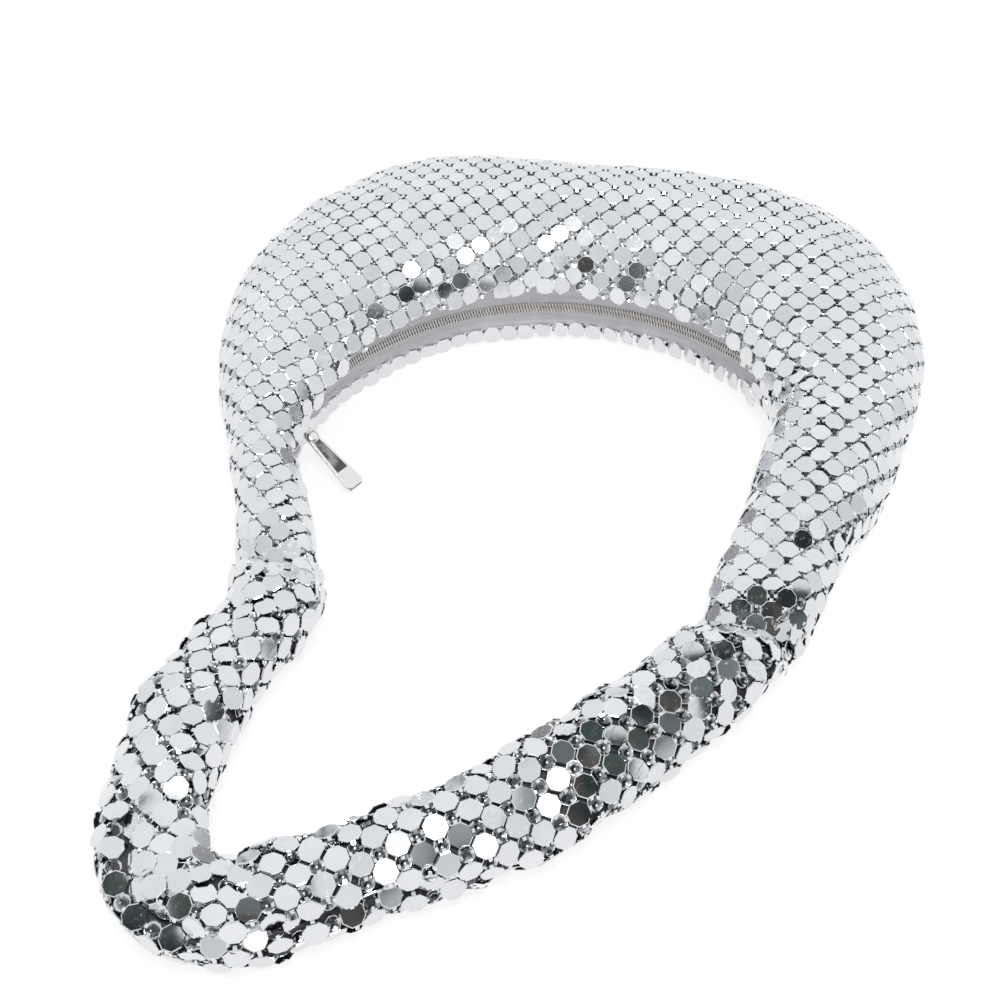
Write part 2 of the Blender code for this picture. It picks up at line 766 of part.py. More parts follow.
def slider_depth():
    """Thickness of the slider through both plates, towards the handle's hole."""
    return 2 * (COIL_RADIUS + CHANNEL_EASE + PLATE_THICKNESS)


def make_slider(parts, cutters):
    """Slider body: two plates joined by a thin post that runs between the coils."""
    place = zip_place(SLIDER_BEARING)
    depth = slider_depth()
    body = add_box("slider_body", (SLIDER_LENGTH, depth, SLIDER_WIDTH), place, parts,
                   make_material("slider_body", SILVER), SLIDER_ROUNDING)
    through = SLIDER_LENGTH + OVERRUN
    channel_height = COIL_PARTING + 4 * COIL_RADIUS + 2 * GAP
    channel_size = (through, depth - 2 * PLATE_THICKNESS, channel_height)
    channel = add_box("channel_cutter", channel_size, place, cutters)
    slot_size = (through, TAPE_THICKNESS + 2 * GAP, SLIDER_WIDTH + OVERRUN)
    slot = add_box("tape_slot_cutter", slot_size, place, cutters)
    post_size = (POST_LENGTH, depth - PLATE_THICKNESS, POST_THICKNESS)
    post = add_box("post_joiner", post_size, place, cutters)
    boolean(body, as_cutter(channel), "DIFFERENCE")
    boolean(body, as_cutter(slot), "DIFFERENCE")
    boolean(body, as_cutter(post), "UNION")
    half = BRIDGE_SPAN / 2
    foot = slider_depth() / 2 + GAP
    rise = BRIDGE_RISE - GAP
    points = []
    for angle in np.linspace(0, math.pi, BRIDGE_POINTS):
        across = math.copysign(abs(math.cos(angle)) ** (2 / BRIDGE_POWER), math.cos(angle))
        points.append((half * across, foot + rise * abs(math.sin(angle)) ** (2 / BRIDGE_POWER), 0.0))
    finish = make_material("slider_bridge", SILVER)
    bridge = add_wire("slider_bridge", points, BRIDGE_WIRE, parts, finish)
    bridge.matrix_world = place
    return [body, bridge], [channel, slot, post]


def pull_place():
    """Frame on the bridge: X along the pull's hinge, Y down the pull and Z out of its face."""
    pivot = zip_place(SLIDER_BEARING, slider_depth() / 2 + BRIDGE_RISE)
    twist = Matrix.Rotation(-PULL_TWIST, 4, "Z")
    return pivot @ twist @ Matrix.Rotation(-PULL_DROOP, 4, "X")


def make_pull(parts, cutters):
    """Tapered bar with an eye at its neck and a recess in its face."""
    place = pull_place()
    start = (EYE_RADIUS + EYE_BORE) / 2
    neck = PULL_NECK_WIDTH / 2
    end = PULL_END_WIDTH / 2
    outline = [(-neck, start), (neck, start), (end, PULL_LENGTH - PULL_CORNER),
               (end - PULL_CORNER, PULL_LENGTH), (PULL_CORNER - end, PULL_LENGTH),
               (-end, PULL_LENGTH - PULL_CORNER)]
    bar = add_outline("pull_tab", outline, PULL_THICKNESS / 2, parts)
    bar.data.materials.append(make_material("pull_tab", SILVER))
    bar.matrix_world = place
    bevel = bar.modifiers.new("rounded edges", "BEVEL")
    bevel.width = PULL_ROUNDING
    bevel.segments = 2
    eye = add_rod("eye_joiner", EYE_RADIUS, EYE_LENGTH, place, cutters)
    bore = add_rod("eye_cutter", EYE_BORE, EYE_LENGTH + OVERRUN, place, cutters)
    stop = PULL_LENGTH - END_BLOCK
    slope = (end - neck) / (PULL_LENGTH - start)
    wide_start = neck + slope * (RECESS_START - start) - RECESS_BORDER
    wide_stop = neck + slope * (stop - start) - RECESS_BORDER
    hollow = [(-wide_start, RECESS_START), (wide_start, RECESS_START), (wide_stop, stop), (-wide_stop, stop)]
    recess = add_outline("recess_cutter", hollow, RECESS_DEPTH, cutters)
    recess.matrix_world = place @ Matrix.Translation((0.0, 0.0, PULL_THICKNESS / 2))
    boolean(bar, as_cutter(eye), "UNION")
    boolean(bar, as_cutter(bore), "DIFFERENCE")
    boolean(bar, as_cutter(recess), "DIFFERENCE")
    return bar, [eye, bore, recess]


def make_handle(parts, cutter):
    """Handle: a folded tube of linked plaques over a soft round core."""
    grid = handle_grid()
    tube = add_grid("handle_mesh", grid, parts, make_material("handle_mesh", SILVER), closed=True)
    mesh = tube.data
    if sum(face.normal.z * face.area for face in mesh.polygons if face.center.z > ARM_HEIGHT / 2) < 0:
        mesh.flip_normals()
    thicken(tube, MESH_THICKNESS)
    boolean(tube, cutter, "DIFFERENCE")
    rows = handle_line()
    places = np.linspace(0, len(rows) - 1, 20 * len(rows))
    line = np.array([catmull_rom(rows, place)[:2] for place in places])
    run = np.concatenate([[0.0], np.cumsum(np.linalg.norm(np.diff(line, axis=0), axis=1))])
    radius = ARM_HEIGHT / 2 - MESH_THICKNESS - CORE_EASE - GROOVE_DEPTH
    level = MESH_THICKNESS + CORE_EASE + radius
    setback = (radius + NOTCH_DROP) * math.tan(FOLD_RANGE / 2) + FOLD_GAP
    stations = np.linspace(setback, run[-1] - setback, CORE_POINTS)
    points = [(np.interp(at, run, line[:, 0]), np.interp(at, run, line[:, 1]), level) for at in stations]
    core = add_wire("handle_core", points, radius, parts, make_material("handle_core", WADDING))
    return [tube, core]


def footprint_centre(pieces):
    """Middle of the rectangle that the evaluated pieces cover in plan."""
    bpy.context.view_layer.update()
    graph = bpy.context.evaluated_depsgraph_get()
    plan = []
    for piece in pieces:
        placed = piece.evaluated_get(graph)
        plan += [(placed.matrix_world @ vertex.co).xy for vertex in placed.to_mesh().vertices]
        placed.to_mesh_clear()
    plan = np.array(plan)
    return Vector((*(plan.min(axis=0) + plan.max(axis=0)) / 2, 0.0))


def add_pivot(name, place, group):
    """Empty on a joint's axis."""
    pivot = bpy.data.objects.new(name, None)
    pivot.matrix_world = place
    group.objects.link(pivot)
    return pivot


def parent_to(pieces, pivot):
    """Carry pieces on a pivot without moving them."""
    bpy.context.view_layer.update()
    for piece in pieces:
        piece.parent = pivot
        piece.matrix_parent_inverse = pivot.matrix_world.inverted()


def main():
    """Model the bag."""
    clear_scene()
    parts = new_collection("evening_clutch")
    cutters = new_collection("cutters")

    pouch_cutter = make_fold_cutter("pouch_cutter", 1, cutters)
    handle_cutter = make_fold_cutter("handle_cutter", -1, cutters)
    bag = make_panels(parts, pouch_cutter)
    bag += make_lining(parts)
    bag += make_tapes(parts)
    bag += make_chain(parts)
    handle = make_handle(parts, handle_cutter)
    slider, slider_cutters = make_slider(parts, cutters)
    pull, pull_cutters = make_pull(parts, cutters)

    centre = footprint_centre([*bag, *handle])
    root = add_pivot("bag", Matrix.Identity(4), parts)
    foot = (*(fold_normal() * FOLD_SETBACK), ARM_HEIGHT / 2)
    turn = Matrix.Rotation(FOLD_SLANT, 4, "Z")
    fold_pivot = add_pivot("handle_fold", Matrix.Translation(foot) @ turn, parts)
    zip_pivot = add_pivot("zip_travel", Matrix.Translation((0.0, 0.0, ZIP_LEVEL)), parts)
    pull_pivot = add_pivot("pull_swing", pull_place(), parts)
    parent_to([pull, *pull_cutters], pull_pivot)
    parent_to([*slider, *slider_cutters, pull_pivot], zip_pivot)
    parent_to([*handle, handle_cutter], fold_pivot)
    parent_to([*bag, pouch_cutter, fold_pivot, zip_pivot], root)
    root.location = -centre


main()
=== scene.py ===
"""Looks of the evening clutch: linked metal plaques over a dark lining, a zipped mouth and a looped handle.

Lengths are metres and angles of a cross-section are radians: 0 at its outer edge, a quarter turn at its
crest and a half turn at the wall that faces the hole of the handle.
"""
import json
import math

import bpy
import numpy as np
from bpy.props import FloatProperty, FloatVectorProperty, IntProperty, PointerProperty
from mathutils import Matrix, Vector
from mathutils.kdtree import KDTree


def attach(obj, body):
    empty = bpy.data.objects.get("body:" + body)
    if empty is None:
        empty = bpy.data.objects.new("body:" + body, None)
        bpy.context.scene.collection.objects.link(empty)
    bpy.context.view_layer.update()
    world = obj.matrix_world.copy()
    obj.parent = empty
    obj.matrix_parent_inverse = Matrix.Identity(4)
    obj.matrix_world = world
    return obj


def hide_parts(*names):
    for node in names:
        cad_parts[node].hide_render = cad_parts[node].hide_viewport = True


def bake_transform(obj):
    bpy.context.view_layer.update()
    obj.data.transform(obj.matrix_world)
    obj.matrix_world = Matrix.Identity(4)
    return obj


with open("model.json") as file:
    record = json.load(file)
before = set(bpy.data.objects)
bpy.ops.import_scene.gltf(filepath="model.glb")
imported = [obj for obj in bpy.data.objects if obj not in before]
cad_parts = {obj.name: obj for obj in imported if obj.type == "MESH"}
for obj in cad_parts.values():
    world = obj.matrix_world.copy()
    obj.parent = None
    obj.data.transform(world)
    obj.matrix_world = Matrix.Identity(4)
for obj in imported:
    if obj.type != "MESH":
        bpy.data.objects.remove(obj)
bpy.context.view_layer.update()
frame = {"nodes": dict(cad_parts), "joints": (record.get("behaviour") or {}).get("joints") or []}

bl_info = {
    "name": "Evening clutch",
    "version": (1, 0, 0),
    "blender": (4, 5, 0),
    "location": "View3D > Sidebar > Clutch",
    "description": "Plaques, lining, zip and studio for an evening clutch",
    "category": "Object",
}

JOINTS = {joint["name"]: joint for joint in frame["joints"]}
ZIP_CENTRE = np.array(JOINTS["zip_travel"]["pos_m"])
PLAN_CENTRE = ZIP_CENTRE * (1.0, 1.0, 0.0)
FOLD_POINT = np.array(JOINTS["handle_fold"]["pos_m"])
FOLD_AXIS = -np.array(JOINTS["handle_fold"]["axis"])
FOLD_NORMAL = np.array([FOLD_AXIS[1], -FOLD_AXIS[0], 0.0])

# Forms of the pouch and the handle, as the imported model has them
MOUTH_RADIUS = 0.084
BELLY_DEPTH = 0.073
POUCH_HEIGHT = 0.050
ARM_HEIGHT = 0.022
REST_FLAT = 0.0005
WAIST_DROP_SHARE = 0.14
UPPER_POWER = 2.2
LOWER_POWER = 2.4
LOWER_POWER_GAIN = 0.8
RIGHT_ROOT_BEARINGS = (-54.5, -40.0)
LEFT_ROOT_BEARINGS = (206.0, 196.6)
CROSS_SECTION_SHARES = [
    (-31.0, -18.0, 0.660, 0.485, 0.09),
    (3.6, 3.2, 0.750, 0.620, 0.32),
    (26.0, 15.0, 0.960, 0.595, 0.53),
    (42.0, 31.0, 1.000, 0.875, 0.77),
    (58.0, 46.5, 1.000, 1.062, 0.89),
    (76.0, 66.0, 1.000, 0.965, 0.95),
    (94.0, 86.0, 1.000, 0.885, 0.98),
    (112.0, 107.0, 1.000, 1.070, 0.94),
    (129.0, 120.0, 1.000, 1.039, 0.83),
    (145.0, 137.5, 1.000, 0.849, 0.64),
    (159.0, 153.0, 1.000, 0.599, 0.42),
    (170.5, 168.5, 0.985, 0.357, 0.19),
    (186.0, 184.0, 0.905, 0.335, 0.09),
]
FOLD_SETBACK = float(np.dot((FOLD_POINT - PLAN_CENTRE)[:2], FOLD_NORMAL[:2]))
HANDLE_WIDTH = 0.030
HANDLE_LENGTH = 0.109
HANDLE_SHARES = [
    (0.494, 0.293, 1.11),
    (0.260, 0.482, 1.08),
    (0.025, 0.650, 1.00),
    (-0.220, 0.778, 0.92),
    (-0.501, 0.914, 0.97),
    (-0.698, 1.004, 0.98),
    (-0.905, 0.972, 0.96),
    (-1.018, 0.832, 0.96),
    (-1.056, 0.665, 0.97),
    (-1.054, 0.484, 0.94),
    (-0.981, 0.302, 0.96),
    (-0.909, 0.146, 0.94),
]
LEAST_SPREAD_SHARE = 0.6

# Step along the handle, in rows, over which its heading is measured
HEADING_STEP = 0.02

# Mouth: rims as shares of the height, the share of its opening from which plaques keep to them, the bearings
# in degrees between which it opens, and over what reach a rim's slope is taken
RIM_HIGH_SHARE = 0.54
RIM_LOW_SHARE = 0.09
RIM_LEAST_SHARE = 0.3
MOUTH_START = 33.0
MOUTH_END = 174.0
MOUTH_EASE = 9.0
RIM_REACH = 0.001

# Zip: radius of its arc, bearings in degrees of its ends and of the tapes', over how many degrees past the
# coils the tapes meet, the coils' size and parting, how far they mesh, how much taller than round and how
# deep they are, and how the tapes run to the rims
ZIP_RADIUS = MOUTH_RADIUS + 0.008
ZIP_START = 43.9
ZIP_END = 163.9
TAPE_START = 34.0
TAPE_END = 173.0
TAPE_CLOSE = 2.0
COIL_RADIUS = 0.0009
COIL_PARTING = 0.0010
COIL_MESH = 0.00042
COIL_TALLER = 0.00045
COIL_DEPTH_SHARE = 0.62
TAPE_TUCK = 0.0040
TAPE_DEPTH = 0.0016
TAPE_THICKNESS = 0.00045
TAPE_UNDER_COIL = 0.0006
STRAIGHT_TAPE = 0.0045
TAPE_BEND_SHARES = (0.35, 0.7)
ZIP_SIDES = {"upper": 1.0, "lower": -1.0}

# Pull: its outline, its recess and end, how far it droops, and its round boss
PULL_START = 0.0020
PULL_LENGTH = 0.0258
PULL_NECK_WIDTH = 0.0036
PULL_END_WIDTH = 0.0070
PULL_THICKNESS = 0.0016
PULL_CORNER = 0.0009
PULL_EDGE = 0.0003
PULL_DROOP = math.radians(24.7)
RECESS_START = 0.0055
RECESS_BORDER = 0.0008
END_BLOCK = 0.0070
TRIM_GAP = 0.0001
BOSS_PLACE = 0.0041
BOSS_RADIUS = 0.0021

# Boss from its foot up: share of its radius and height
BOSS_LEVELS = [(1.0, 0.0), (1.0, 0.00030), (0.90, 0.00055), (0.62, 0.00078), (0.25, 0.00088)]

# Dark plates of the pull, a painted dark reflection in its recess and painted shade on its end: how far the
# recess's one lies under the face, from its back to its front, the thickness of the one on the end, and how
# wide their soft edges are at most
REFLECTION_PLATE_DEPTHS = (0.00036, 0.00004)
END_SHADE_PLATE_THICKNESS = 0.00012
SOFT_EDGE = 0.00010

# Lower rim: where its upright row starts, as a share of the mouth's opening, how far it lies in, as a share
# of the pitch, and how much its plaques face as the skin does and upwards, beside how they face the hole
LIP_LEAST_SHARE = 0.5
LIP_INSET_SHARE = 0.2
LIP_SKIN_SHARE = 0.2
LIP_UP_SHARE = 0.25

# How far on each side of the fold line the cloth bends as the handle folds
FOLD_REACH = 0.024

# Seam at the fold line: how far it reaches, and how close its plaques lie, as a share of the usual distance
SEAM_REACH = 0.007
SEAM_SHARE = 0.78

# Slack of the cloth, as soft waves: height, wavelength and seed of each
POUCH_WAVES = [(0.0010, 0.075, 11), (0.0004, 0.030, 12)]
HANDLE_WAVES = [(0.0010, 0.030, 21), (0.0005, 0.015, 22)]

# Crease at the fold line: its depth and reach, and where it starts and how it grows, as shares of the height
CREASE_DEPTH = 0.0028
CREASE_REACH = 0.0045
CREASE_START_SHARE = 0.4
CREASE_RISE_SHARE = 0.5

# Long groove in front of the handle: depth, half width in radians, the shares of the run between which it
# lies and over which it eases, and the angle in degrees where it starts and by which it turns, with the share
# of the run where the turn starts and over which it goes on
GROOVE_DEPTH = 0.0038
GROOVE_WIDTH = 0.24
GROOVE_RUN_SHARES = (0.24, 0.68)
GROOVE_EASE_SHARE = 0.10
GROOVE_ANGLES = (5.0, 60.0)
GROOVE_TURN_SHARES = (0.30, 0.32)

# Flat places of the handle: share of its run, angle in degrees, how far each reaches along it and round it,
# and depth
HANDLE_FLATS = [
    (0.22, 60.0, 0.12, 36.0, 0.0026),
    (0.66, 50.0, 0.08, 34.0, 0.0018),
    (0.83, 70.0, 0.07, 34.0, 0.0016),
    (0.09, 0.0, 0.06, 60.0, 0.0036),
    (0.43, 0.0, 0.08, 50.0, 0.0028),
]

# How far the plaques' faces and the layers under them lie in from the soft forms
SKIN_INSET = 0.0002
LINING_DEPTH = 0.0019
LINING_THICKNESS = 0.0005

# Lining: how far its panels keep from the outer edge and from the rims, as angles, and its end panels' places
# along the pouch, depth under the skin, smallest ring, thickness, bulge and pleats
EDGE_ROOM = 0.01
RIM_ROOM = 0.03
END_PANEL_PLACES = {"lining_end_right": 2.1, "lining_end_left": 13.0}
END_PANEL_DEPTH = 0.0032
END_CENTRE_DEPTH = 0.003
END_CENTRE_SHARE = 0.04
END_PANEL_THICKNESS = 0.0004
END_PANEL_BULGE = 0.003
PLEAT_HEIGHT = 0.0006
PLEATS = 12

# Pattern on the pouch: how far it reaches from the crest, its steps to each side and to each place, and the
# widest miss of a plaque that is still kept
PATTERN_REACH = 118.0
PATTERN_STEPS = 80
PATTERN_ROWS = 40
PATTERN_MISS = 0.0015

# Shares of the pitch: how far the lower pattern is shifted, how far a plaque's middle may stand past the rim,
# how near a link's plaques lie, and how near none of another row's and none of the filling ones may lie
LOWER_SHIFT_SHARE = 0.25
RIM_OVERHANG_SHARE = 0.1
LINK_REACH_SHARE = 0.84
LINK_CLEAR_SHARE = 0.52
FILL_CLEAR_SHARE = 0.5

# The same for a link of the handle, as shares of the step between rings and of the pitch
RING_REACH_SHARE = 1.25
RING_CLEAR_SHARE = 0.6

# Places tried where the cloth is open: rows to a place of the pouch and of the handle, angles to a row, how
# far from the lower rim, and over what reach the surface's slope is taken
FILL_ROWS = (22, 18)
FILL_ANGLES = 90
FILL_INSET = 0.001
FILL_REACH = 0.003

# Leaning: its seed, how far before the fold line it starts to grow towards the handle's and over what
# distance, a link's share of a plaque's, and the widest lean as a multiple of the usual one
LEAN_SEED = 5
LEAN_START = 0.045
LEAN_RUN = 0.07
LINK_LEAN_SHARE = 0.5
MOST_LEAN = 2.2

# Where the handle's rings are measured, as shares from its inner edge, and how the rings twist along it
RING_LINE_SHARES = (0.15, 0.5, 0.85)
RING_SWAY = 0.06
RING_SWAY_PACE = 9.0
RING_TWIST = 0.10

# Card with dim patches that the plaques reflect: centre and radius of its curve, the bearings from -Y and
# the heights between which it reaches, in degrees, the size of a patch, the corners in plan and the level of
# its flat parts over the handle with the size of their patches, and the share and tone of each kind of patch
CARD_CENTRE = np.array([0.0, -0.13, 0.0])
CARD_RADIUS = 0.30
CARD_BEARINGS = (-85.0, 105.0)
CARD_HEIGHTS = (34.0, 76.0)
CARD_PATCH = 0.045
FLAT_CARDS = [((0.020, -0.17), (0.160, -0.020)), ((-0.160, -0.21), (-0.085, -0.110))]
FLAT_CARD_LEVEL = 0.12
FLAT_CARD_PATCH = 0.028
CARD_TONE_SHARES = [
    (0.0, (0.022, 0.032, 0.036)),
    (0.22, (0.060, 0.085, 0.076)),
    (0.38, (0.095, 0.085, 0.075)),
    (0.52, (0.16, 0.19, 0.195)),
    (0.62, (0.36, 0.39, 0.40)),
    (0.76, (0.90, 0.92, 0.94)),
]

# How the pick of a patch changes over the card, as from, to, share there and share here: dimmer to the
# right of the set, and paler high up, to the left of a place
CARD_RIGHT_DIM = (-0.06, 0.03, 1.10, 0.62)
CARD_TOP_PALE = (0.20, 0.27, 0.0, 0.7)
CARD_TOP_REACH = (0.08, 0.02)

# Polished metal: roughness of each kind, seed of the plaques' tones, and a link's tone beside a plaque's,
# darker as painted shade of its recess under the plaques
ROUGHNESS = {"plaque": 0.07, "prong": 0.12, "link": 0.14, "nickel": 0.13, "dark": 0.30}
TONE_SEED = 8
LINK_SHADE_TONE = 0.90

# Wear: how each of two sets of scratches is turned and stretched, about which axis, and what shows of them
# and of the smudges
SCRATCH_SETS = ((0.5, (1.0, 0.06, 1.0)), (2.1, (0.07, 1.0, 1.0)))
SCRATCH_AXIS = (0.3, 0.4, 1.0)
SCRATCH_MASK = (0.60, 0.70)
SMUDGE_MASK = (0.42, 0.68)

# How much smudges and scratches show in the metal and how dark they are, what smudges add to its roughness,
# the darkest plaque, how strong and deep the scratches' bump is, and where painted shade darkens a link's
# hollow, with the colour of that shade
SMUDGE_SHARE = 0.30
SMUDGE_TONE = 0.88
SMUDGE_ROUGHNESS = 0.05
SCRATCH_SHARE = 0.10
SCRATCH_TONE = 0.70
SCRATCH_BUMP = 0.04
SCRATCH_DEPTH = 0.000005
DARKEST_PLAQUE = 0.80
HOLLOW_SHADE_MASK = (0.45, 0.95)
PAINTED_HOLLOW_SHADE = (0.10, 0.105, 0.115)

# Brushed metal: patches to a metre, what shows of them, and the tones between which it drifts
BRUSH_PATCHES = 260.0
BRUSH_MASK = (0.38, 0.62)
BRUSH_TONES = (0.45, 1.5)

# Cloth: tones of the shaded and the raised threads, the depth of their bump, the roughness of the sheen, and
# the streaks' stretch, what shows of them and their tone
THREAD_TONES = (0.72, 1.18)
THREAD_DEPTH = 0.0001
SHEEN_ROUGHNESS = 0.4
STREAK_STRETCH = (30.0, 900.0, 1.0)
STREAK_MASK = (0.35, 0.65)
STREAK_TONE = 1.5

# Satin and tape: threads to a metre, roughness, sheen and how far the threads stand out
SATIN = (3200.0, 0.55, 0.15, 0.25)
TAPE = (2600.0, 0.42, 0.25, 0.35)

# Filament of the coils: grain to a metre, its tones, and its roughness as a fit of the grain
COIL_GRAIN = 400.0
COIL_TONES = (0.85, 1.15)
COIL_ROUGHNESS = (0.2, 0.8, 0.28, 0.5)

# Light tent: how far it stands from the bag, the heights between which it reaches, in degrees, how many
# clouds of tone a radius has, what shows of them and how they pale towards the back, as from, to, share there
# and share here, its brightness, and how dark its dim parts are
DOME_RADIUS = 1.6
DOME_HEIGHTS = (6.0, 90.0)
DOME_CLOUDS = 6.0
CLOUD_MASK = (0.64, 0.36)
DOME_BACK_PALE = (0.45, -0.15, 0.3, 1.0)
DOME_STRENGTH = 1.16
DOME_DIM_SHARE = 0.71

# Camera: width of its sensor in millimetres, and how near it sees
SENSOR_WIDTH = 36.0
CAMERA_NEAR = 0.01

# Lamp overhead: where it hangs, its width and its slightly warm white
LAMP_PLACE = (0.05, -0.30, 1.10)
LAMP_SIZE = 0.34
LAMP_COLOUR = (1.0, 0.985, 0.96)

# Floor: half its size, the darker tone that the camera and the mirrors see, and the glow that whitens it
FLOOR_HALF = 4.0
FLOOR_SHADE = 0.22
FLOOR_GLOW = 0.80

WHITE = (1.0, 1.0, 1.0, 1.0)

QUARTER = math.pi / 2
HALF = math.pi
WHOLE = 2 * math.pi


class ClutchCloth(bpy.types.PropertyGroup):
    """Sizes and colours of the linked plaques."""

    plaque_width: FloatProperty(name="Plaque width", description="Distance across a plaque's flats",
                                default=0.006, min=0.003, unit="LENGTH")
    plaque_thickness: FloatProperty(name="Plaque thickness", description="Thickness of a plaque",
                                    default=0.0004, min=0.0002, unit="LENGTH")
    plaque_bevel: FloatProperty(name="Plaque bevel", description="Width of the bright edge round a face",
                                default=0.00024, min=0.0, unit="LENGTH")
    pitch: FloatProperty(name="Pouch pitch", description="Distance between plaques on the pouch",
                         default=0.0061, min=0.006, unit="LENGTH")
    closest: FloatProperty(name="Closest", description="Least distance between plaques where rows meet",
                           default=0.0050, min=0.004, unit="LENGTH")
    handle_closest: FloatProperty(name="Closest on the handle", description="Least distance between a plaque "
                                  "that fills a gap of the handle and its neighbours", default=0.0054,
                                  min=0.004, unit="LENGTH")
    handle_growth: FloatProperty(name="Growth on the handle", description="How much wider a plaque is on the "
                                 "handle than on the pouch, as a share", default=0.08, min=0.0, max=0.3)
    turn: FloatProperty(name="Pouch turn", description="Turn of the pouch's pattern in plan",
                        default=math.radians(37.0), unit="ROTATION")
    around: IntProperty(name="Plaques round the handle", description="Plaques in one ring of the handle",
                        default=8, min=4)
    ring_step: FloatProperty(name="Handle ring step", description="Distance between the handle's rings",
                             default=0.0052, min=0.004, unit="LENGTH")
    link_width: FloatProperty(name="Link width", description="Width of the small cup that joins four plaques",
                              default=0.0042, min=0.002, unit="LENGTH")
    prong_width: FloatProperty(name="Prong width", description="Width of the tabs that hold a link",
                               default=0.0011, min=0.0004, unit="LENGTH")
    pouch_tilt: FloatProperty(name="Pouch tilt", description="How far plaques lean at random on the pouch",
                              default=math.radians(1.5), unit="ROTATION")
    handle_tilt: FloatProperty(name="Handle tilt", description="How far plaques lean at random on the handle",
                               default=math.radians(7.0), unit="ROTATION")
    rim_tilt: FloatProperty(name="Rim tilt", description="How much more plaques lean beside the upper rim",
                            default=math.radians(4.5), unit="ROTATION")
    rim_band: FloatProperty(name="Rim band", description="Width of the loose band beside the upper rim",
                            default=0.018, min=0.0, unit="LENGTH")
    silver: FloatVectorProperty(name="Silver", description="Colour of the polished metal",
                                subtype="COLOR", default=(0.77, 0.78, 0.80), min=0.0, max=1.0)
    # The sleeve is made near black, much darker than the pouch's lining, as painted shade in the deep gaps
    # between the handle's plaques.
    sleeve: FloatVectorProperty(name="Sleeve", description="Colour of the sleeve inside the handle",
                                subtype="COLOR", default=(0.045, 0.045, 0.055), min=0.0, max=1.0)
    lining: FloatVectorProperty(name="Lining", description="Colour of the lining behind the plaques",
                                subtype="COLOR", default=(0.38, 0.385, 0.40), min=0.0, max=1.0)


class ClutchZip(bpy.types.PropertyGroup):
    """Sizes and colours of the zip."""

    tooth_pitch: FloatProperty(name="Tooth pitch", description="Length of zip that one turn of a coil takes",
                               default=0.00105, min=0.0007, unit="LENGTH")
    wire: FloatProperty(name="Coil wire", description="Radius of the coil's filament",
                        default=0.00032, min=0.0001, unit="LENGTH")
    tape: FloatVectorProperty(name="Tape", description="Colour of the woven tape", subtype="COLOR",
                              default=(0.51, 0.495, 0.51), min=0.0, max=1.0)
    coil: FloatVectorProperty(name="Coil", description="Colour of the coil", subtype="COLOR",
                              default=(0.72, 0.69, 0.65), min=0.0, max=1.0)
    # The dark metal of the pull's plates is painted: a dark reflection in its recess, and shade on its end.
    dark: FloatVectorProperty(name="Dark metal", description="Colour of the plate in the pull's recess",
                              subtype="COLOR", default=(0.20, 0.20, 0.19), min=0.0, max=1.0)
    nickel: FloatVectorProperty(name="Nickel", description="Colour of the slider and the pull",
                                subtype="COLOR", default=(0.80, 0.79, 0.77), min=0.0, max=1.0)


class ClutchStage(bpy.types.PropertyGroup):
    """Camera, floor and light."""

    lens: FloatProperty(name="Lens", description="Focal length in millimetres on a 36 mm sensor",
                        default=52.2, min=10.0)
    pitch_down: FloatProperty(name="Camera pitch", description="How far the camera looks down",
                              default=math.radians(47.0), unit="ROTATION")
    place: FloatVectorProperty(name="Camera place", description="Where the camera stands",
                               subtype="TRANSLATION", default=(-0.0194, -0.3129, 0.3465))
    lamp: FloatProperty(name="Lamp", description="Power of the lamp overhead, in watts",
                        default=4.5, min=0.0)
    world: FloatVectorProperty(name="Studio", description="Colour of the pale studio round the bag",
                               subtype="COLOR", default=(0.90, 0.925, 0.94), min=0.0, max=1.0)
    floor: FloatVectorProperty(name="Floor", description="Colour of the floor", subtype="COLOR",
                               default=(0.82, 0.82, 0.85), min=0.0, max=1.0)


def polar(bearings, radii):
    """Plan points from bearings in degrees and distances from the zip's centre."""
    angles = np.radians(bearings)
    return np.column_stack([radii * np.cos(angles), radii * np.sin(angles)])


def dome_points(bearings, heights):
    """Grid of points on a dome of radius 1, at bearings from -Y and heights in degrees."""
    level, bearing = np.meshgrid(np.radians(heights), np.radians(bearings), indexing="ij")
    plan = np.stack([np.sin(bearing), -np.cos(bearing)], axis=2) * np.cos(level)[..., None]
    return np.concatenate([plan, np.sin(level)[..., None]], axis=2)


def unit(vectors):
    """Vectors scaled to length one."""
    return vectors / np.linalg.norm(vectors, axis=-1, keepdims=True)


def steps_of(points, axis=0):
    """Distances between neighbouring points of a row, or of a grid along one of its axes."""
    return np.linalg.norm(np.diff(points, axis=axis), axis=-1)


def run_of(steps):
    """How far along each point lies, from the steps between them."""
    return np.concatenate([np.zeros((*steps.shape[:-1], 1)), np.cumsum(steps, axis=-1)], axis=-1)


def smooth_rows(rows, places):
    """Smooth values between rows of numbers, at places from 0 to the last row's number."""
    last = len(rows) - 1
    places = np.clip(places, 0, last)
    first = np.clip(places.astype(int), 0, last - 1)
    step = (places - first)[:, None]
    padded = np.vstack([2 * rows[0] - rows[1], rows, 2 * rows[-1] - rows[-2]])
    before, start, end, after = (padded[first + shift] for shift in range(4))
    return 0.5 * (2 * start + (end - before) * step
                  + (2 * before - 5 * start + 4 * end - after) * step ** 2
                  + (3 * start - before - 3 * end + after) * step ** 3)


def root_span(bearings):
    """Inner and outer edge of a root, where two bearings meet the fold line."""
    directions = polar(bearings, 1.0)
    return directions * (FOLD_SETBACK / (directions @ FOLD_NORMAL[:2]))[:, None]


def pouch_rows():
    """Bearings, edge distances and rise of every cross-section, roots included."""
    rows = [(bi, bo, inner * MOUTH_RADIUS, inner * MOUTH_RADIUS + depth * BELLY_DEPTH, rise)
            for bi, bo, inner, depth, rise in CROSS_SECTION_SHARES]
    ends = []
    for bearings in (RIGHT_ROOT_BEARINGS, LEFT_ROOT_BEARINGS):
        near, far = np.linalg.norm(root_span(bearings), axis=1)
        ends.append((*bearings, near, far, 0.0))
    return np.array([ends[0], *rows, ends[1]])


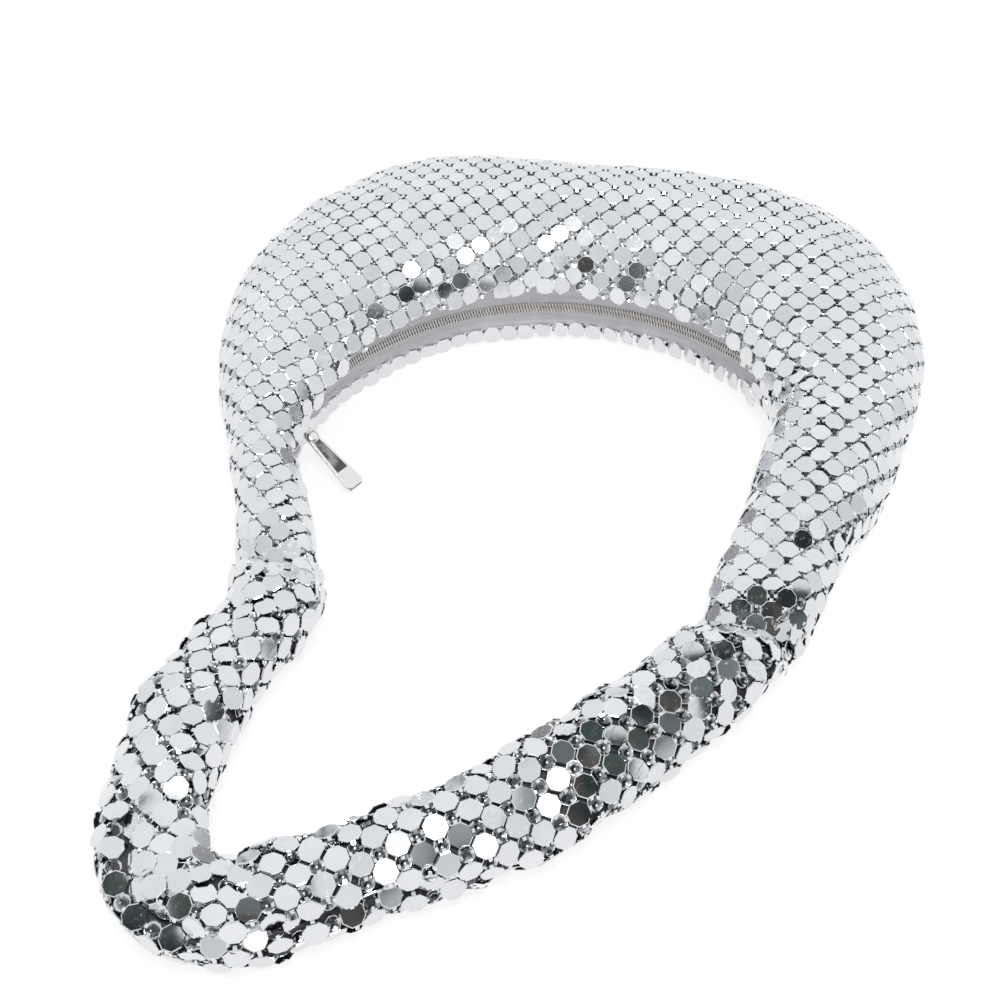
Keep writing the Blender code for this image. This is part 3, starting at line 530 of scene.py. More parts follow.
def handle_rows():
    """Rows of the handle's centre line: plan point and half width, from root to root."""
    ends = []
    for bearings in (RIGHT_ROOT_BEARINGS, LEFT_ROOT_BEARINGS):
        inner, outer = root_span(bearings)
        ends.append((*(inner + outer) / 2, np.linalg.norm(outer - inner) / 2))
    rows = []
    for aside, away, width in HANDLE_SHARES:
        centre = aside * MOUTH_RADIUS * FOLD_AXIS[:2]
        centre = centre + (FOLD_SETBACK + away * HANDLE_LENGTH) * FOLD_NORMAL[:2]
        rows.append((*centre, width * HANDLE_WIDTH / 2))
    return np.array([ends[0], *rows, ends[1]])


POUCH_ROWS = pouch_rows()
HANDLE_ROWS = handle_rows()


def pouch_spans(places):
    """Inner edges, outer edges, heights and rises of the pouch's cross-sections."""
    inner_bearing, outer_bearing, near, far, rise = smooth_rows(POUCH_ROWS, places).T
    height = ARM_HEIGHT + rise * (POUCH_HEIGHT - ARM_HEIGHT)
    return polar(inner_bearing, near), polar(outer_bearing, far), height, rise


def handle_spans(places):
    """Inner edges, outer edges, heights and rises of the handle's cross-sections."""
    last = len(HANDLE_ROWS) - 1
    here = smooth_rows(HANDLE_ROWS, places)
    within = np.clip(places, HEADING_STEP, last - HEADING_STEP)
    travel = smooth_rows(HANDLE_ROWS, within + HEADING_STEP) - smooth_rows(HANDLE_ROWS, within - HEADING_STEP)
    travel = unit(travel[:, :2])
    outward = np.column_stack([travel[:, 1], -travel[:, 0]])
    outward *= np.where(np.sum(outward * here[:, :2], axis=1) < 0, -1.0, 1.0)[:, None]
    near_right = np.maximum(0.0, 1 - places)[:, None]
    near_left = np.maximum(0.0, 1 - (last - places))[:, None]
    spread = outward * (1 - near_right) * (1 - near_left) + FOLD_AXIS[:2] * (near_right - near_left)
    spread = unit(spread)
    facing = np.abs(np.sum(spread * outward, axis=1))
    own = here[:, 2] * (near_right + near_left)[:, 0]
    slanted = here[:, 2] / np.maximum(LEAST_SPREAD_SHARE, facing)
    half = (own + slanted * (1 - near_right - near_left)[:, 0])[:, None]
    level = np.full(len(places), ARM_HEIGHT)
    return here[:, :2] - spread * half, here[:, :2] + spread * half, level, np.zeros(len(places))


def waists(spans):
    """Heights of the widest level of cross-sections."""
    return spans[2] * (0.5 - WAIST_DROP_SHARE * spans[3])


def section(spans, angles):
    """Points on cross-sections at angles, in the row frame."""
    inner, outer, height, rise = spans
    waist = waists(spans)
    sine = np.sin(angles)
    cosine = np.cos(angles)
    power = np.where(sine >= 0, UPPER_POWER, LOWER_POWER + LOWER_POWER_GAIN * rise)
    across = np.sign(cosine) * np.abs(cosine) ** (2 / power)
    lift = np.abs(sine) ** (2 / power)
    level = np.where(sine >= 0, waist + (height - waist) * lift, waist - (waist + REST_FLAT) * lift)
    plan = (inner + outer) / 2 + across[:, None] * (outer - inner) / 2
    return np.column_stack([plan, np.maximum(level, 0.0)]) + PLAN_CENTRE


def outward(spans, angles):
    """Rough outward directions on cross-sections."""
    side = unit(spans[1] - spans[0]) * np.cos(angles)[:, None]
    return np.column_stack([side, np.sin(angles)])


def smooth_share(values):
    """Ease from 0 to 1 with level ends."""
    values = np.clip(values, 0.0, 1.0)
    return values * values * (3 - 2 * values)


def rim_angles(places):
    """Angles of the upper and the lower rim of the mouth, which meet where it is closed."""
    spans = pouch_spans(places)
    waist = waists(spans)
    bearings = np.degrees(np.arctan2(spans[0][:, 1], spans[0][:, 0])) % 360
    share = smooth_share((bearings - MOUTH_START) / MOUTH_EASE)
    share = share * smooth_share((MOUTH_END - bearings) / MOUTH_EASE)
    lower_power = LOWER_POWER + LOWER_POWER_GAIN * spans[3]
    high_share = (RIM_HIGH_SHARE * spans[2] - waist) / (spans[2] - waist)
    low_share = (waist - RIM_LOW_SHARE * spans[2]) / (waist + REST_FLAT)
    high = np.arcsin(np.clip(high_share, 0, 1) ** (UPPER_POWER / 2))
    low = np.arcsin(np.clip(low_share, 0, 1) ** (lower_power / 2))
    return HALF - share * high, HALF + share * low, share


def ripples(points, wavelength, seed):
    """Gentle unevenness between -1 and 1, from a few crossing waves."""
    chance = np.random.default_rng(seed)
    waves = 7
    heading = unit(chance.normal(size=(waves, 3)))
    pace = WHOLE / wavelength * chance.uniform(0.6, 1.5, waves)
    phase = chance.uniform(0, WHOLE, waves)
    usual_crest = 3.2
    return np.sin(points @ heading.T * pace + phase).sum(axis=1) / usual_crest


def slack(points, waves):
    """Height of several sets of soft waves together."""
    return sum(height * ripples(points, wavelength, seed) for height, wavelength, seed in waves)


def fold_distance(points):
    """How far points lie past the fold line, towards the handle."""
    return (points - FOLD_POINT) @ FOLD_NORMAL


def crease(points):
    """How deep the crossing crease at the fold line is, on the upper side, as a share."""
    above = smooth_share((points[:, 2] - CREASE_START_SHARE * ARM_HEIGHT) / (CREASE_RISE_SHARE * ARM_HEIGHT))
    return above * np.exp(-(fold_distance(points) / CREASE_REACH) ** 2)


class Skin:
    """Outer surface of a soft form, by place along it and angle round it."""

    def __init__(self, spans_of, last, relief):
        self.spans_of = spans_of
        self.last = last
        self.relief = relief

    def at(self, places, angles, depth=0.0):
        """Points on the surface, or a depth under it."""
        places = np.asarray(places, dtype=float)
        angles = np.asarray(angles, dtype=float)
        spans = self.spans_of(places)
        points = section(spans, angles)
        swell = self.relief(points, places, angles) - depth
        points = points + outward(spans, angles) * swell[:, None]
        floor = np.where(np.sin(angles) < 0, depth, 0.0)
        points[:, 2] = np.maximum(points[:, 2], floor)
        return points

    def grid(self, places, angles, depth=0.0):
        """Grid of points, one row to a place. The angles may differ from row to row."""
        angles = np.broadcast_to(angles, (len(places), np.shape(angles)[-1]))
        spread = np.repeat(places, angles.shape[1])
        return self.at(spread, angles.ravel(), depth).reshape(*angles.shape, 3)

    def slopes(self, places, angles, reach):
        """Vectors along the form and round it, measured over about the reach on each side."""
        tiny = 0.002
        along = (self.at(places + tiny, angles) - self.at(places - tiny, angles)) / (2 * tiny)
        around = (self.at(places, angles + tiny) - self.at(places, angles - tiny)) / (2 * tiny)
        ahead = reach / np.linalg.norm(along, axis=1)
        aside = reach / np.maximum(np.linalg.norm(around, axis=1), 0.004)
        along = (self.at(places + ahead, angles) - self.at(places - ahead, angles)) / (2 * ahead)[:, None]
        around = (self.at(places, angles + aside) - self.at(places, angles - aside)) / (2 * aside)[:, None]
        return along, around


def pouch_relief(points, places, angles):
    """Slack of the pouch and its arms: long soft waves, and the crease at the fold line."""
    return slack(points, POUCH_WAVES) - SKIN_INSET - CREASE_DEPTH * crease(points)


def turned_from(angles, middle):
    """How far angles lie from a middle one, from minus to plus half a turn."""
    return (angles - middle + HALF) % WHOLE - HALF


def handle_relief(points, places, angles):
    """Slack of the handle: ripples, the long groove in front and the crease at the fold line."""
    soft = slack(points, HANDLE_WAVES)
    share = places / (len(HANDLE_ROWS) - 1)
    start, turn = np.radians(GROOVE_ANGLES)
    turn_start, turn_run = GROOVE_TURN_SHARES
    middle = start + turn * (share - turn_start) / turn_run
    run_start, run_end = GROOVE_RUN_SHARES
    run = smooth_share((share - run_start) / GROOVE_EASE_SHARE)
    run = run * smooth_share((run_end - share) / GROOVE_EASE_SHARE)
    groove = run * np.exp(-(turned_from(angles, middle) / GROOVE_WIDTH) ** 2)
    for where, turn, length, width, depth in HANDLE_FLATS:
        off = turned_from(angles, np.radians(turn))
        soft = soft - depth * np.exp(-((share - where) / length) ** 2 - (off / np.radians(width)) ** 2)
    return soft - SKIN_INSET - GROOVE_DEPTH * groove - CREASE_DEPTH * crease(points)


POUCH = Skin(pouch_spans, len(POUCH_ROWS) - 1, pouch_relief)
HANDLE = Skin(handle_spans, len(HANDLE_ROWS) - 1, handle_relief)


class Plaques:
    """Places of plaques or links: centre, outward normal and the direction to a neighbour."""

    def __init__(self, centres, normals, headings):
        self.centres = centres
        self.normals = normals
        self.headings = headings

    def only(self, kept):
        """The ones that a mask keeps."""
        return Plaques(self.centres[kept], self.normals[kept], self.headings[kept])

    def near(self, others, distance):
        """How many of the others lie within a distance of each."""
        tree = KDTree(len(others.centres))
        for index, centre in enumerate(others.centres):
            tree.insert(centre, index)
        tree.balance()
        return np.array([len(tree.find_range(centre, distance)) for centre in self.centres], dtype=int)


def join(groups):
    """Several groups of plaques as one."""
    return Plaques(*(np.vstack([getattr(group, part) for group in groups])
                     for part in ("centres", "normals", "headings")))


def stand_on(skin, places, angles, along_share, around_share, reach):
    """Plaques on a skin, whose heading is a mix of the directions along it and round it."""
    along, around = skin.slopes(places, angles, reach)
    normals = unit(np.cross(around, along))
    side = outward(skin.spans_of(places), angles)
    normals *= np.where(np.sum(normals * side, axis=1) < 0, -1.0, 1.0)[:, None]
    headings = along * along_share[:, None] + around * around_share[:, None]
    headings -= normals * np.sum(headings * normals, axis=1)[:, None]
    return Plaques(skin.at(places, angles), normals, unit(headings))


class Pattern:
    """A square pattern of plaques in the plane, laid over the upper or the lower half of the pouch.

    The plane is the plan of the crest or of the bottom line, with the cloth unrolled inwards and
    outwards from it along each cross-section.
    """

    def __init__(self, middle, side):
        reach = math.radians(PATTERN_REACH)
        self.places = np.linspace(0, POUCH.last, PATTERN_ROWS * POUCH.last + 1)
        self.angles = middle + np.linspace(-reach, reach, 2 * PATTERN_STEPS + 1)
        run = run_of(steps_of(POUCH.grid(self.places, self.angles), 1))
        run = (run - run[:, PATTERN_STEPS:PATTERN_STEPS + 1]) * side
        inner, outer, _, _ = pouch_spans(self.places)
        crest = (inner + outer) / 2
        self.flat = crest[:, None] + run[:, :, None] * unit(outer - inner)[:, None]
        self.tree = KDTree(self.flat.shape[0] * self.flat.shape[1])
        for index, (x, y) in enumerate(self.flat.reshape(-1, 2)):
            self.tree.insert((x, y, 0.0), index)
        self.tree.balance()

    def lay(self, spots, heading, reach):
        """Plaques at spots of the plane, with their places and angles, where the pouch has them."""
        columns = len(self.angles)
        found = [self.tree.find((x, y, 0.0)) for x, y in spots]
        index = np.array([item[1] for item in found])
        close = np.array([item[2] for item in found]) < PATTERN_MISS
        row = np.clip(index // columns, 1, len(self.places) - 2)
        column = np.clip(index % columns, 1, columns - 2)
        ahead = (self.flat[row + 1, column] - self.flat[row - 1, column]) / 2
        aside = (self.flat[row, column + 1] - self.flat[row, column - 1]) / 2
        frame_of = np.stack([ahead, aside], axis=2)
        shift = np.linalg.solve(frame_of, (spots - self.flat[row, column])[:, :, None])[:, :, 0]
        shift = np.clip(shift, -1.0, 1.0)
        turn = np.linalg.solve(frame_of, np.broadcast_to(heading, spots.shape)[:, :, None])[:, :, 0]
        place_step = self.places[1] - self.places[0]
        angle_step = self.angles[1] - self.angles[0]
        places = self.places[row] + shift[:, 0] * place_step
        angles = self.angles[column] + shift[:, 1] * angle_step
        made = stand_on(POUCH, places, angles, turn[:, 0] * place_step, turn[:, 1] * angle_step, reach)
        return made, places, angles, close


def lattice(flat, pitch, turn, shift):
    """Spots of a square grid, and of its cells' middles, over the reach of a flat pattern."""
    low = flat.reshape(-1, 2).min(axis=0)
    high = flat.reshape(-1, 2).max(axis=0)
    middle = (low + high) / 2
    count = int(np.linalg.norm(high - low) / pitch / 2) + 2
    numbers = np.arange(-count, count + 1)
    first, second = np.meshgrid(numbers, numbers)
    axis = np.array([math.cos(turn), math.sin(turn)])
    other = np.array([-axis[1], axis[0]])
    spots = []
    for offset in (0.0, 0.5):
        grid = middle + ((first + offset + shift)[..., None] * axis
                         + (second + offset)[..., None] * other) * pitch
        grid = grid.reshape(-1, 2)
        inside = np.all((grid > low) & (grid < high), axis=1)
        spots.append(grid[inside])
    return spots[0], spots[1], axis


def arc_between(skin, places, start, end):
    """Distance round the skin between two angles, at each place."""
    stops = np.linspace(0, 1, 12)
    angles = start[:, None] + (end - start)[:, None] * stops
    return steps_of(skin.grid(places, angles), 1).sum(axis=1)


def lip_row(pitch):
    """Upright plaques along the lower rim of the mouth."""
    fine = np.linspace(0, POUCH.last, 900)
    _, low, share = rim_angles(fine)
    kept = share > LIP_LEAST_SHARE
    fine = fine[kept]
    angles = low[kept]
    around = np.linalg.norm(POUCH.slopes(fine, angles, RIM_REACH)[1], axis=1)
    angles = angles + LIP_INSET_SHARE * pitch / around
    run = run_of(steps_of(POUCH.at(fine, angles)))
    stations = np.arange(pitch / 2, run[-1], pitch)
    places = np.interp(stations, run, fine)
    row = stand_on(POUCH, places, np.interp(stations, run, angles), np.ones(len(places)),
                   np.zeros(len(places)), pitch / 2)
    wall = outward(pouch_spans(places), np.full(len(places), HALF))
    facing = row.normals * LIP_SKIN_SHARE + wall + (0.0, 0.0, LIP_UP_SHARE)
    return Plaques(row.centres, unit(facing), row.headings)


def pouch_plaques(cloth):
    """Plaques and links of the pouch and its two arms, the lower ones after the upper ones."""
    pitch = cloth.pitch
    reach = cloth.plaque_width / 2
    plaques = [lip_row(pitch)]
    links = []
    for middle, side, shift in ((QUARTER, -1.0, 0.0), (3 * QUARTER, 1.0, LOWER_SHIFT_SHARE)):
        pattern = Pattern(middle, side)
        spots, gaps, axis = lattice(pattern.flat, pitch, cloth.turn, shift)
        made, places, angles, close = pattern.lay(spots, axis, reach)
        made = made.only(close & on_cloth(places, angles, side, -RIM_OVERHANG_SHARE * pitch))
        own = made.only(made.near(join(plaques), cloth.closest) == 0)
        cups, places, angles, close = pattern.lay(gaps, axis, reach)
        cups = cups.only(close)
        ring = cups.near(own, LINK_REACH_SHARE * pitch)
        blocked = cups.near(join(plaques), LINK_CLEAR_SHARE * pitch)
        links.append(cups.only((ring >= 3) & (blocked == 0)))
        plaques.append(own)
    return plaques, links


def on_cloth(places, angles, side, inset):
    """Which places lie on the upper (-1) or the lower (1) half, an inset away from the mouth's rim."""
    high, low, share = rim_angles(places)
    rim = high if side < 0 else low
    room = arc_between(POUCH, places, angles, rim) * np.sign((angles - rim) * side)
    inside = np.where(share > RIM_LEAST_SHARE, room > inset, room > 0)
    return inside & ((angles > -0.02) if side < 0 else (angles < WHOLE))


def perimeter_table(skin, places):
    """Angles at even distances round the skin, from its outer edge, at each place."""
    angles = np.linspace(0, WHOLE, 121)
    run = run_of(steps_of(skin.grid(places, angles), 1))
    return angles, run / run[:, -1:]


def handle_plaques(cloth):
    """Plaques and links of the handle, in rings that step half a plaque from one to the next."""
    fine = np.linspace(0, HANDLE.last, 800)
    inner, outer, _, _ = handle_spans(fine)
    steps = [steps_of(inner + (outer - inner) * share) for share in RING_LINE_SHARES]
    run = run_of(np.max(steps, axis=0))
    rings = int(run[-1] / cloth.ring_step)
    stations = (np.arange(rings) + 0.5) * run[-1] / rings
    where = np.interp(stations, run, fine)
    angles, shares = perimeter_table(HANDLE, where)
    twist = RING_SWAY * np.sin(stations / run[-1] * RING_SWAY_PACE) + RING_TWIST * stations / run[-1]
    groups = []
    for half in (0.0, 0.5):
        places = []
        turns = []
        for ring in range(rings):
            share = (np.arange(cloth.around) + (0.5 * (ring % 2) + half)) / cloth.around + twist[ring]
            turns.append(np.interp(share % 1.0, shares[ring], angles))
            places.append(np.full(cloth.around, where[ring]))
        places = np.concatenate(places)
        turns = np.concatenate(turns)
        along, around = HANDLE.slopes(places, turns, cloth.plaque_width / 2)
        groups.append(stand_on(HANDLE, places, turns, 1 / np.linalg.norm(along, axis=1),
                               1 / np.linalg.norm(around, axis=1), cloth.plaque_width / 2))
    return spaced(groups[0], cloth.closest), groups[1]


def spaced(group, least):
    """The plaques of a group that lie at least a distance from those kept before them."""
    kept = [0]
    for index, centre in enumerate(group.centres):
        if np.min(np.linalg.norm(group.centres[kept] - centre, axis=1)) >= least:
            kept.append(index)
    return group.only(np.array(kept))


def filled(kept, leasts, apart):
    """Places that fill what is open on the pouch and the handle, along seams, rims and bends.

    Each lies at least its skin's least distance from the kept ones, and apart from the other new ones.
    """
    cell = max(*leasts, *apart)
    cells = {}

    def home_of(centre):
        return tuple(np.floor(centre / cell).astype(int))

    def crowd(centre):
        home = home_of(centre)
        return [other for x in (-1, 0, 1) for y in (-1, 0, 1) for z in (-1, 0, 1)
                for other in cells.get((home[0] + x, home[1] + y, home[2] + z), ())]

    for centre in kept.centres:
        cells.setdefault(home_of(centre), []).append((centre, True))
    extra = []
    for skin, per_place, least, own in zip((POUCH, HANDLE), FILL_ROWS, leasts, apart):
        places = np.linspace(0, skin.last, per_place * skin.last + 1)
        angles = np.linspace(-QUARTER, 3 * QUARTER, FILL_ANGLES)
        places, angles = (grid.ravel() for grid in np.meshgrid(places, angles, indexing="ij"))
        if skin is POUCH:
            upper = on_cloth(places, angles, -1.0, 0.0)
            lower = on_cloth(places, angles % WHOLE, 1.0, FILL_INSET)
            allowed = np.where(np.abs(angles - QUARTER) < QUARTER, upper, lower)
            places = places[allowed]
            angles = angles[allowed]
        made = stand_on(skin, places, angles, np.ones(len(places)), np.zeros(len(places)), FILL_REACH)
        tight = np.where(np.abs(fold_distance(made.centres)) < SEAM_REACH, SEAM_SHARE, 1.0)
        taken = []
        for index, centre in enumerate(made.centres):
            if all(np.dot(centre - other, centre - other) >= ((least if old else own) * tight[index]) ** 2
                   for other, old in crowd(centre)):
                cells.setdefault(home_of(centre), []).append((centre, False))
                taken.append(index)
        extra.append(made.only(np.array(taken, dtype=int)))
    return join(extra)


def lay_cloth(cloth):
    """All plaques and links, leaning as they lie, by where they ride."""
    chance = np.random.default_rng(LEAN_SEED)
    upper_lower, pouch_links = pouch_plaques(cloth)
    handle, handle_links = handle_plaques(cloth)
    pouch = join(upper_lower)
    handle = handle.only(handle.near(pouch, cloth.closest) == 0)
    room = (cloth.closest, cloth.handle_closest)
    fill = filled(join([pouch, handle]), room, room)
    links = join(pouch_links)
    links = links.only(links.near(fill, FILL_CLEAR_SHARE * cloth.pitch) == 0)
    ring = handle_links.near(handle, RING_REACH_SHARE * cloth.ring_step)
    blocked = handle_links.near(join([pouch, fill]), RING_CLEAR_SHARE * cloth.pitch)
    handle_links = handle_links.only((ring >= 3) & (blocked == 0))
    plaques = join([pouch, fill, handle])
    links = join([links, handle_links])
    least, apart = (share * cloth.plaque_width for share in SPARE_LINK_SHARES)
    spare = filled(join([plaques, links]), (least, least), (apart, apart))
    every = {"plaques": plaques, "links": join([links, spare])}
    made = {}
    for kind, group in every.items():
        past = fold_distance(group.centres)
        share = smooth_share((past + LEAN_START) / LEAN_RUN)
        leaning = cloth.pouch_tilt + (cloth.handle_tilt - cloth.pouch_tilt) * share
        beside = np.linalg.norm((group.centres - PLAN_CENTRE)[:, :2], axis=1) - MOUTH_RADIUS
        loose = smooth_share(2 - 2 * beside / cloth.rim_band) * (group.normals[:, 2] > 0) * (1 - share)
        leaning = leaning + cloth.rim_tilt * loose
        leaning = leaning * (1.0 if kind == "plaques" else LINK_LEAN_SHARE)
        group = lean_by(group, leaning, chance)
        upward = group.normals[:, 2] > 0
        made[kind, "fold"] = group.only(np.abs(past) <= FOLD_REACH)
        made[kind, "handle"] = group.only(past > FOLD_REACH)
        made[kind, "front"] = group.only((past < -FOLD_REACH) & upward)
        made[kind, "back"] = group.only((past < -FOLD_REACH) & ~upward)
    return made


def lean_by(group, leaning, chance):
    """Lean plaques at random, each by up to an angle of its own."""
    count = len(group.centres)
    side = np.cross(group.normals, group.headings)
    first, second = np.clip(chance.normal(size=(2, count)), -MOST_LEAN, MOST_LEAN) * np.tan(leaning)
    normals = unit(group.normals + first[:, None] * group.headings + second[:, None] * side)
    headings = group.headings - normals * np.sum(group.headings * normals, axis=1)[:, None]
    return Plaques(group.centres, normals, unit(headings))


def grid_faces(rows, columns, closed=False):
    """Faces of a grid of points, row after row, whose rows may each close into a ring."""
    return [(row * columns + column, row * columns + (column + 1) % columns,
             (row + 1) * columns + (column + 1) % columns, (row + 1) * columns + column)
            for row in range(rows - 1) for column in range(columns if closed else columns - 1)]


def ring_points(levels, radius, sides):
    """Rings of points of a round solid, from the share of the radius and the height of each."""
    return np.array([(radius * share * math.cos(WHOLE * side / sides),
                      radius * share * math.sin(WHOLE * side / sides), level)
                     for share, level in levels for side in range(sides)])


def ring_faces(rings, sides):
    """Faces of a round solid from rings of points: its top, its sides and its bottom."""
    bands = [face[:1] + face[:0:-1] for face in grid_faces(rings, sides, True)]
    return [tuple(range(sides)), *bands, tuple(reversed(range((rings - 1) * sides, rings * sides)))]


# How far a plaque's bevel drops, as a share of its width
BEVEL_DROP_SHARE = 0.55


def plaque_shape(cloth):
    """Points and faces of one plaque, face up at the origin: a bevelled octagon."""
    sides = 8
    half_side = 180.0 / sides
    corners = np.radians(half_side + 2 * half_side * np.arange(sides))
    stretch = 1 / math.cos(math.radians(half_side))
    wide = cloth.plaque_width / 2 * stretch
    inner = wide - cloth.plaque_bevel * stretch
    levels = ((inner, 0.0), (wide, -BEVEL_DROP_SHARE * cloth.plaque_bevel), (wide, -cloth.plaque_thickness))
    points = [(radius * math.cos(angle), radius * math.sin(angle), level)
              for radius, level in levels for angle in corners]
    return np.array(points), ring_faces(len(levels), sides)


# Prong: how far its root lies in from the plaque's edge, its thickness, and, at root and tip, how far out it
# reaches, its level and its share of the width
PRONG_ROOT_INSET = 0.0001
PRONG_THICKNESS = 0.00022
PRONG_LEVELS = [(0.0, -0.0001, 1.0), (0.00085, -0.00075, 0.8)]


def prong_shape(cloth):
    """Points and faces of a plaque's four prongs, which slope down from its diagonal edges."""
    root = cloth.plaque_width / 2 - PRONG_ROOT_INSET
    half = cloth.prong_width / 2
    points = []
    faces = []
    for quarter in range(4):
        angle = QUARTER * quarter + QUARTER / 2
        turn = np.array([[math.cos(angle), -math.sin(angle)], [math.sin(angle), math.cos(angle)]])
        start = len(points)
        for ahead, level, share in PRONG_LEVELS:
            for side, lower in ((-1, 0.0), (1, 0.0), (1, PRONG_THICKNESS), (-1, PRONG_THICKNESS)):
                x, y = turn @ (root + ahead, side * half * share)
                points.append((x, y, level - lower))
        for face in (*grid_faces(2, 4, True), (4, 5, 6, 7)):
            faces.append(tuple(start + item for item in reversed(face)))
    return np.array(points), faces


# How far a link that fills an opening lies from plaques and links, and from others like it, as shares of a
# plaque's width
SPARE_LINK_SHARES = (0.60, 0.64)

# Lowest level of a plaque above the ground, which its prongs touch
PLAQUE_REST = 0.00008

# How plaques grow towards the handle: how far before the fold line it starts, and over what distance
GROWTH_START = 0.010
GROWTH_RUN = 0.030

# Levels of a link from its middle outwards: share of its radius and height
LINK_LEVELS = [(0.07, -0.00165), (0.38, -0.00155), (0.68, -0.00122), (0.90, -0.00076), (1.0, -0.00064),
               (1.06, -0.00080), (0.62, -0.00175)]


def link_shape(cloth):
    """Points and faces of one link: a small dished disc under the corners of four plaques."""
    sides = 10
    return ring_points(LINK_LEVELS, cloth.link_width / 2, sides), ring_faces(len(LINK_LEVELS), sides)


def new_object(name, data):
    """Object on new data, in the scene."""
    piece = bpy.data.objects.new(name, data)
    bpy.context.scene.collection.objects.link(piece)
    return piece


def mesh_object(name, points, faces, smooth=False):
    """Object on a new mesh."""
    mesh = bpy.data.meshes.new(name)
    mesh.from_pydata([tuple(point) for point in points], [], faces)
    if smooth:
        mesh.shade_smooth()
    mesh.update()
    return new_object(name, mesh)


def repeat_shape(name, shape, group, chance, lowest, growth, smooth=False):
    """One mesh of a shape at every plaque, wider on the handle, with nothing under the lowest level."""
    points, faces = shape
    side = np.cross(group.normals, group.headings)
    axes = np.stack([group.headings, side, group.normals], axis=1)
    size = 1 + growth * smooth_share((fold_distance(group.centres) + GROWTH_START) / GROWTH_RUN)
    placed = np.einsum("pk,nkc->npc", points, axes) * size[:, None, None] + group.centres[:, None]
    short = np.maximum(0.0, lowest - placed[:, :, 2].min(axis=1))
    placed[:, :, 2] += short[:, None]
    count = len(points)
    every = [tuple(corner + start * count for corner in face)
             for start in range(len(placed)) for face in faces]
    piece = mesh_object(name, placed.reshape(-1, 3), every, smooth)
    tone = piece.data.attributes.new("tone", "FLOAT", "POINT")
    tone.data.foreach_set("value", np.repeat(chance.uniform(0, 1, len(placed)), count).astype(np.float32))
    # How deep each point lies, as a share of a link's depth, which the links' painted shade in their hollows
    # reads
    depth = piece.data.attributes.new("depth", "FLOAT", "POINT")
    low = np.tile(points[:, 2] / LINK_LEVELS[0][1], len(placed))
    depth.data.foreach_set("value", low.astype(np.float32))
    return piece


def sheet_object(name, outer_side, thickness, closed=False):
    """Cloth sheet on a grid of points, with its thickness inwards and a UV map in metres."""
    rows, columns = outer_side.shape[:2]
    piece = mesh_object(name, outer_side.reshape(-1, 3), grid_faces(rows, columns, closed), True)
    first = run_of(steps_of(outer_side, 0).mean(axis=1))
    second = run_of(steps_of(outer_side, 1).mean(axis=0))
    layer = piece.data.uv_layers.new(name="cloth")
    for loop in piece.data.loops:
        row, column = divmod(loop.vertex_index, columns)
        layer.data[loop.index].uv = (first[row], second[column])
    solid = piece.modifiers.new("thickness", "SOLIDIFY")
    solid.thickness = thickness
    solid.offset = -1
    return piece


def face_away(piece, towards):
    """Turn a sheet's faces so that they look away from a point for each face."""
    total = 0.0
    for face in piece.data.polygons:
        total += (face.center - Vector(towards(face.center))).dot(face.normal) * face.area
    if total < 0:
        piece.data.flip_normals()


def new_group(name, inputs, outputs):
    """Shader node group with named sockets, and its two end nodes."""
    group = bpy.data.node_groups.new(name, "ShaderNodeTree")
    for label, kind, value in inputs:
        socket = group.interface.new_socket(name=label, in_out="INPUT", socket_type=kind)
        if value is not None:
            socket.default_value = value
    for label, kind in outputs:
        group.interface.new_socket(name=label, in_out="OUTPUT", socket_type=kind)
    start = group.nodes.new("NodeGroupInput")
    end = group.nodes.new("NodeGroupOutput")
    return group, start, end


class Nodes:
    """Short way to add and link nodes in one tree."""

    def __init__(self, tree):
        self.tree = tree

    def add(self, kind, settings=None, **inputs):
        """New node with its settings and inputs. An input is a value or another node's socket."""
        node = self.tree.nodes.new("ShaderNode" + kind)
        for key, value in (settings or {}).items():
            setattr(node, key, value)
        return self.fill(node, **inputs)

    def fill(self, node, **inputs):
        """Set or link inputs by name, with _ for a space, or by number after an i."""
        for key, value in inputs.items():
            socket = node.inputs[int(key[1:]) if key[1:].isdigit() else key.replace("_", " ")]
            if isinstance(value, bpy.types.NodeSocket):
                self.tree.links.new(value, socket)
            else:
                socket.default_value = value
        return node

    def place(self):
        """Place on the piece, in its own coordinates."""
        return self.add("TexCoord").outputs["Object"]

    def noise(self, vector, scale, detail=2.0, **more):
        """Soft noise."""
        return self.add("TexNoise", Vector=vector, Scale=scale, Detail=detail, **more).outputs[0]

    def attribute(self, name):
        """A value that the mesh carries."""
        return self.add("Attribute", {"attribute_name": name}).outputs["Fac"]

    def times(self, first, second):
        """Product of two values."""
        return self.math("MULTIPLY", first, second)

    def math(self, operation, first, second=0.0, third=0.0):
        """Result of a math node."""
        return self.add("Math", {"operation": operation}, i0=first, i1=second, i2=third).outputs[0]

    def fit(self, value, low, high, to_low=0.0, to_high=1.0, smooth=True):
        """Value moved from one range to another."""
        kind = "SMOOTHSTEP" if smooth else "LINEAR"
        return self.add("MapRange", {"interpolation_type": kind}, i0=value, i1=low, i2=high,
                        i3=to_low, i4=to_high).outputs[0]

    def mix(self, factor, first, second):
        """Mix of two colours."""
        return self.add("Mix", {"data_type": "RGBA"}, i0=factor, i6=first, i7=second).outputs[2]


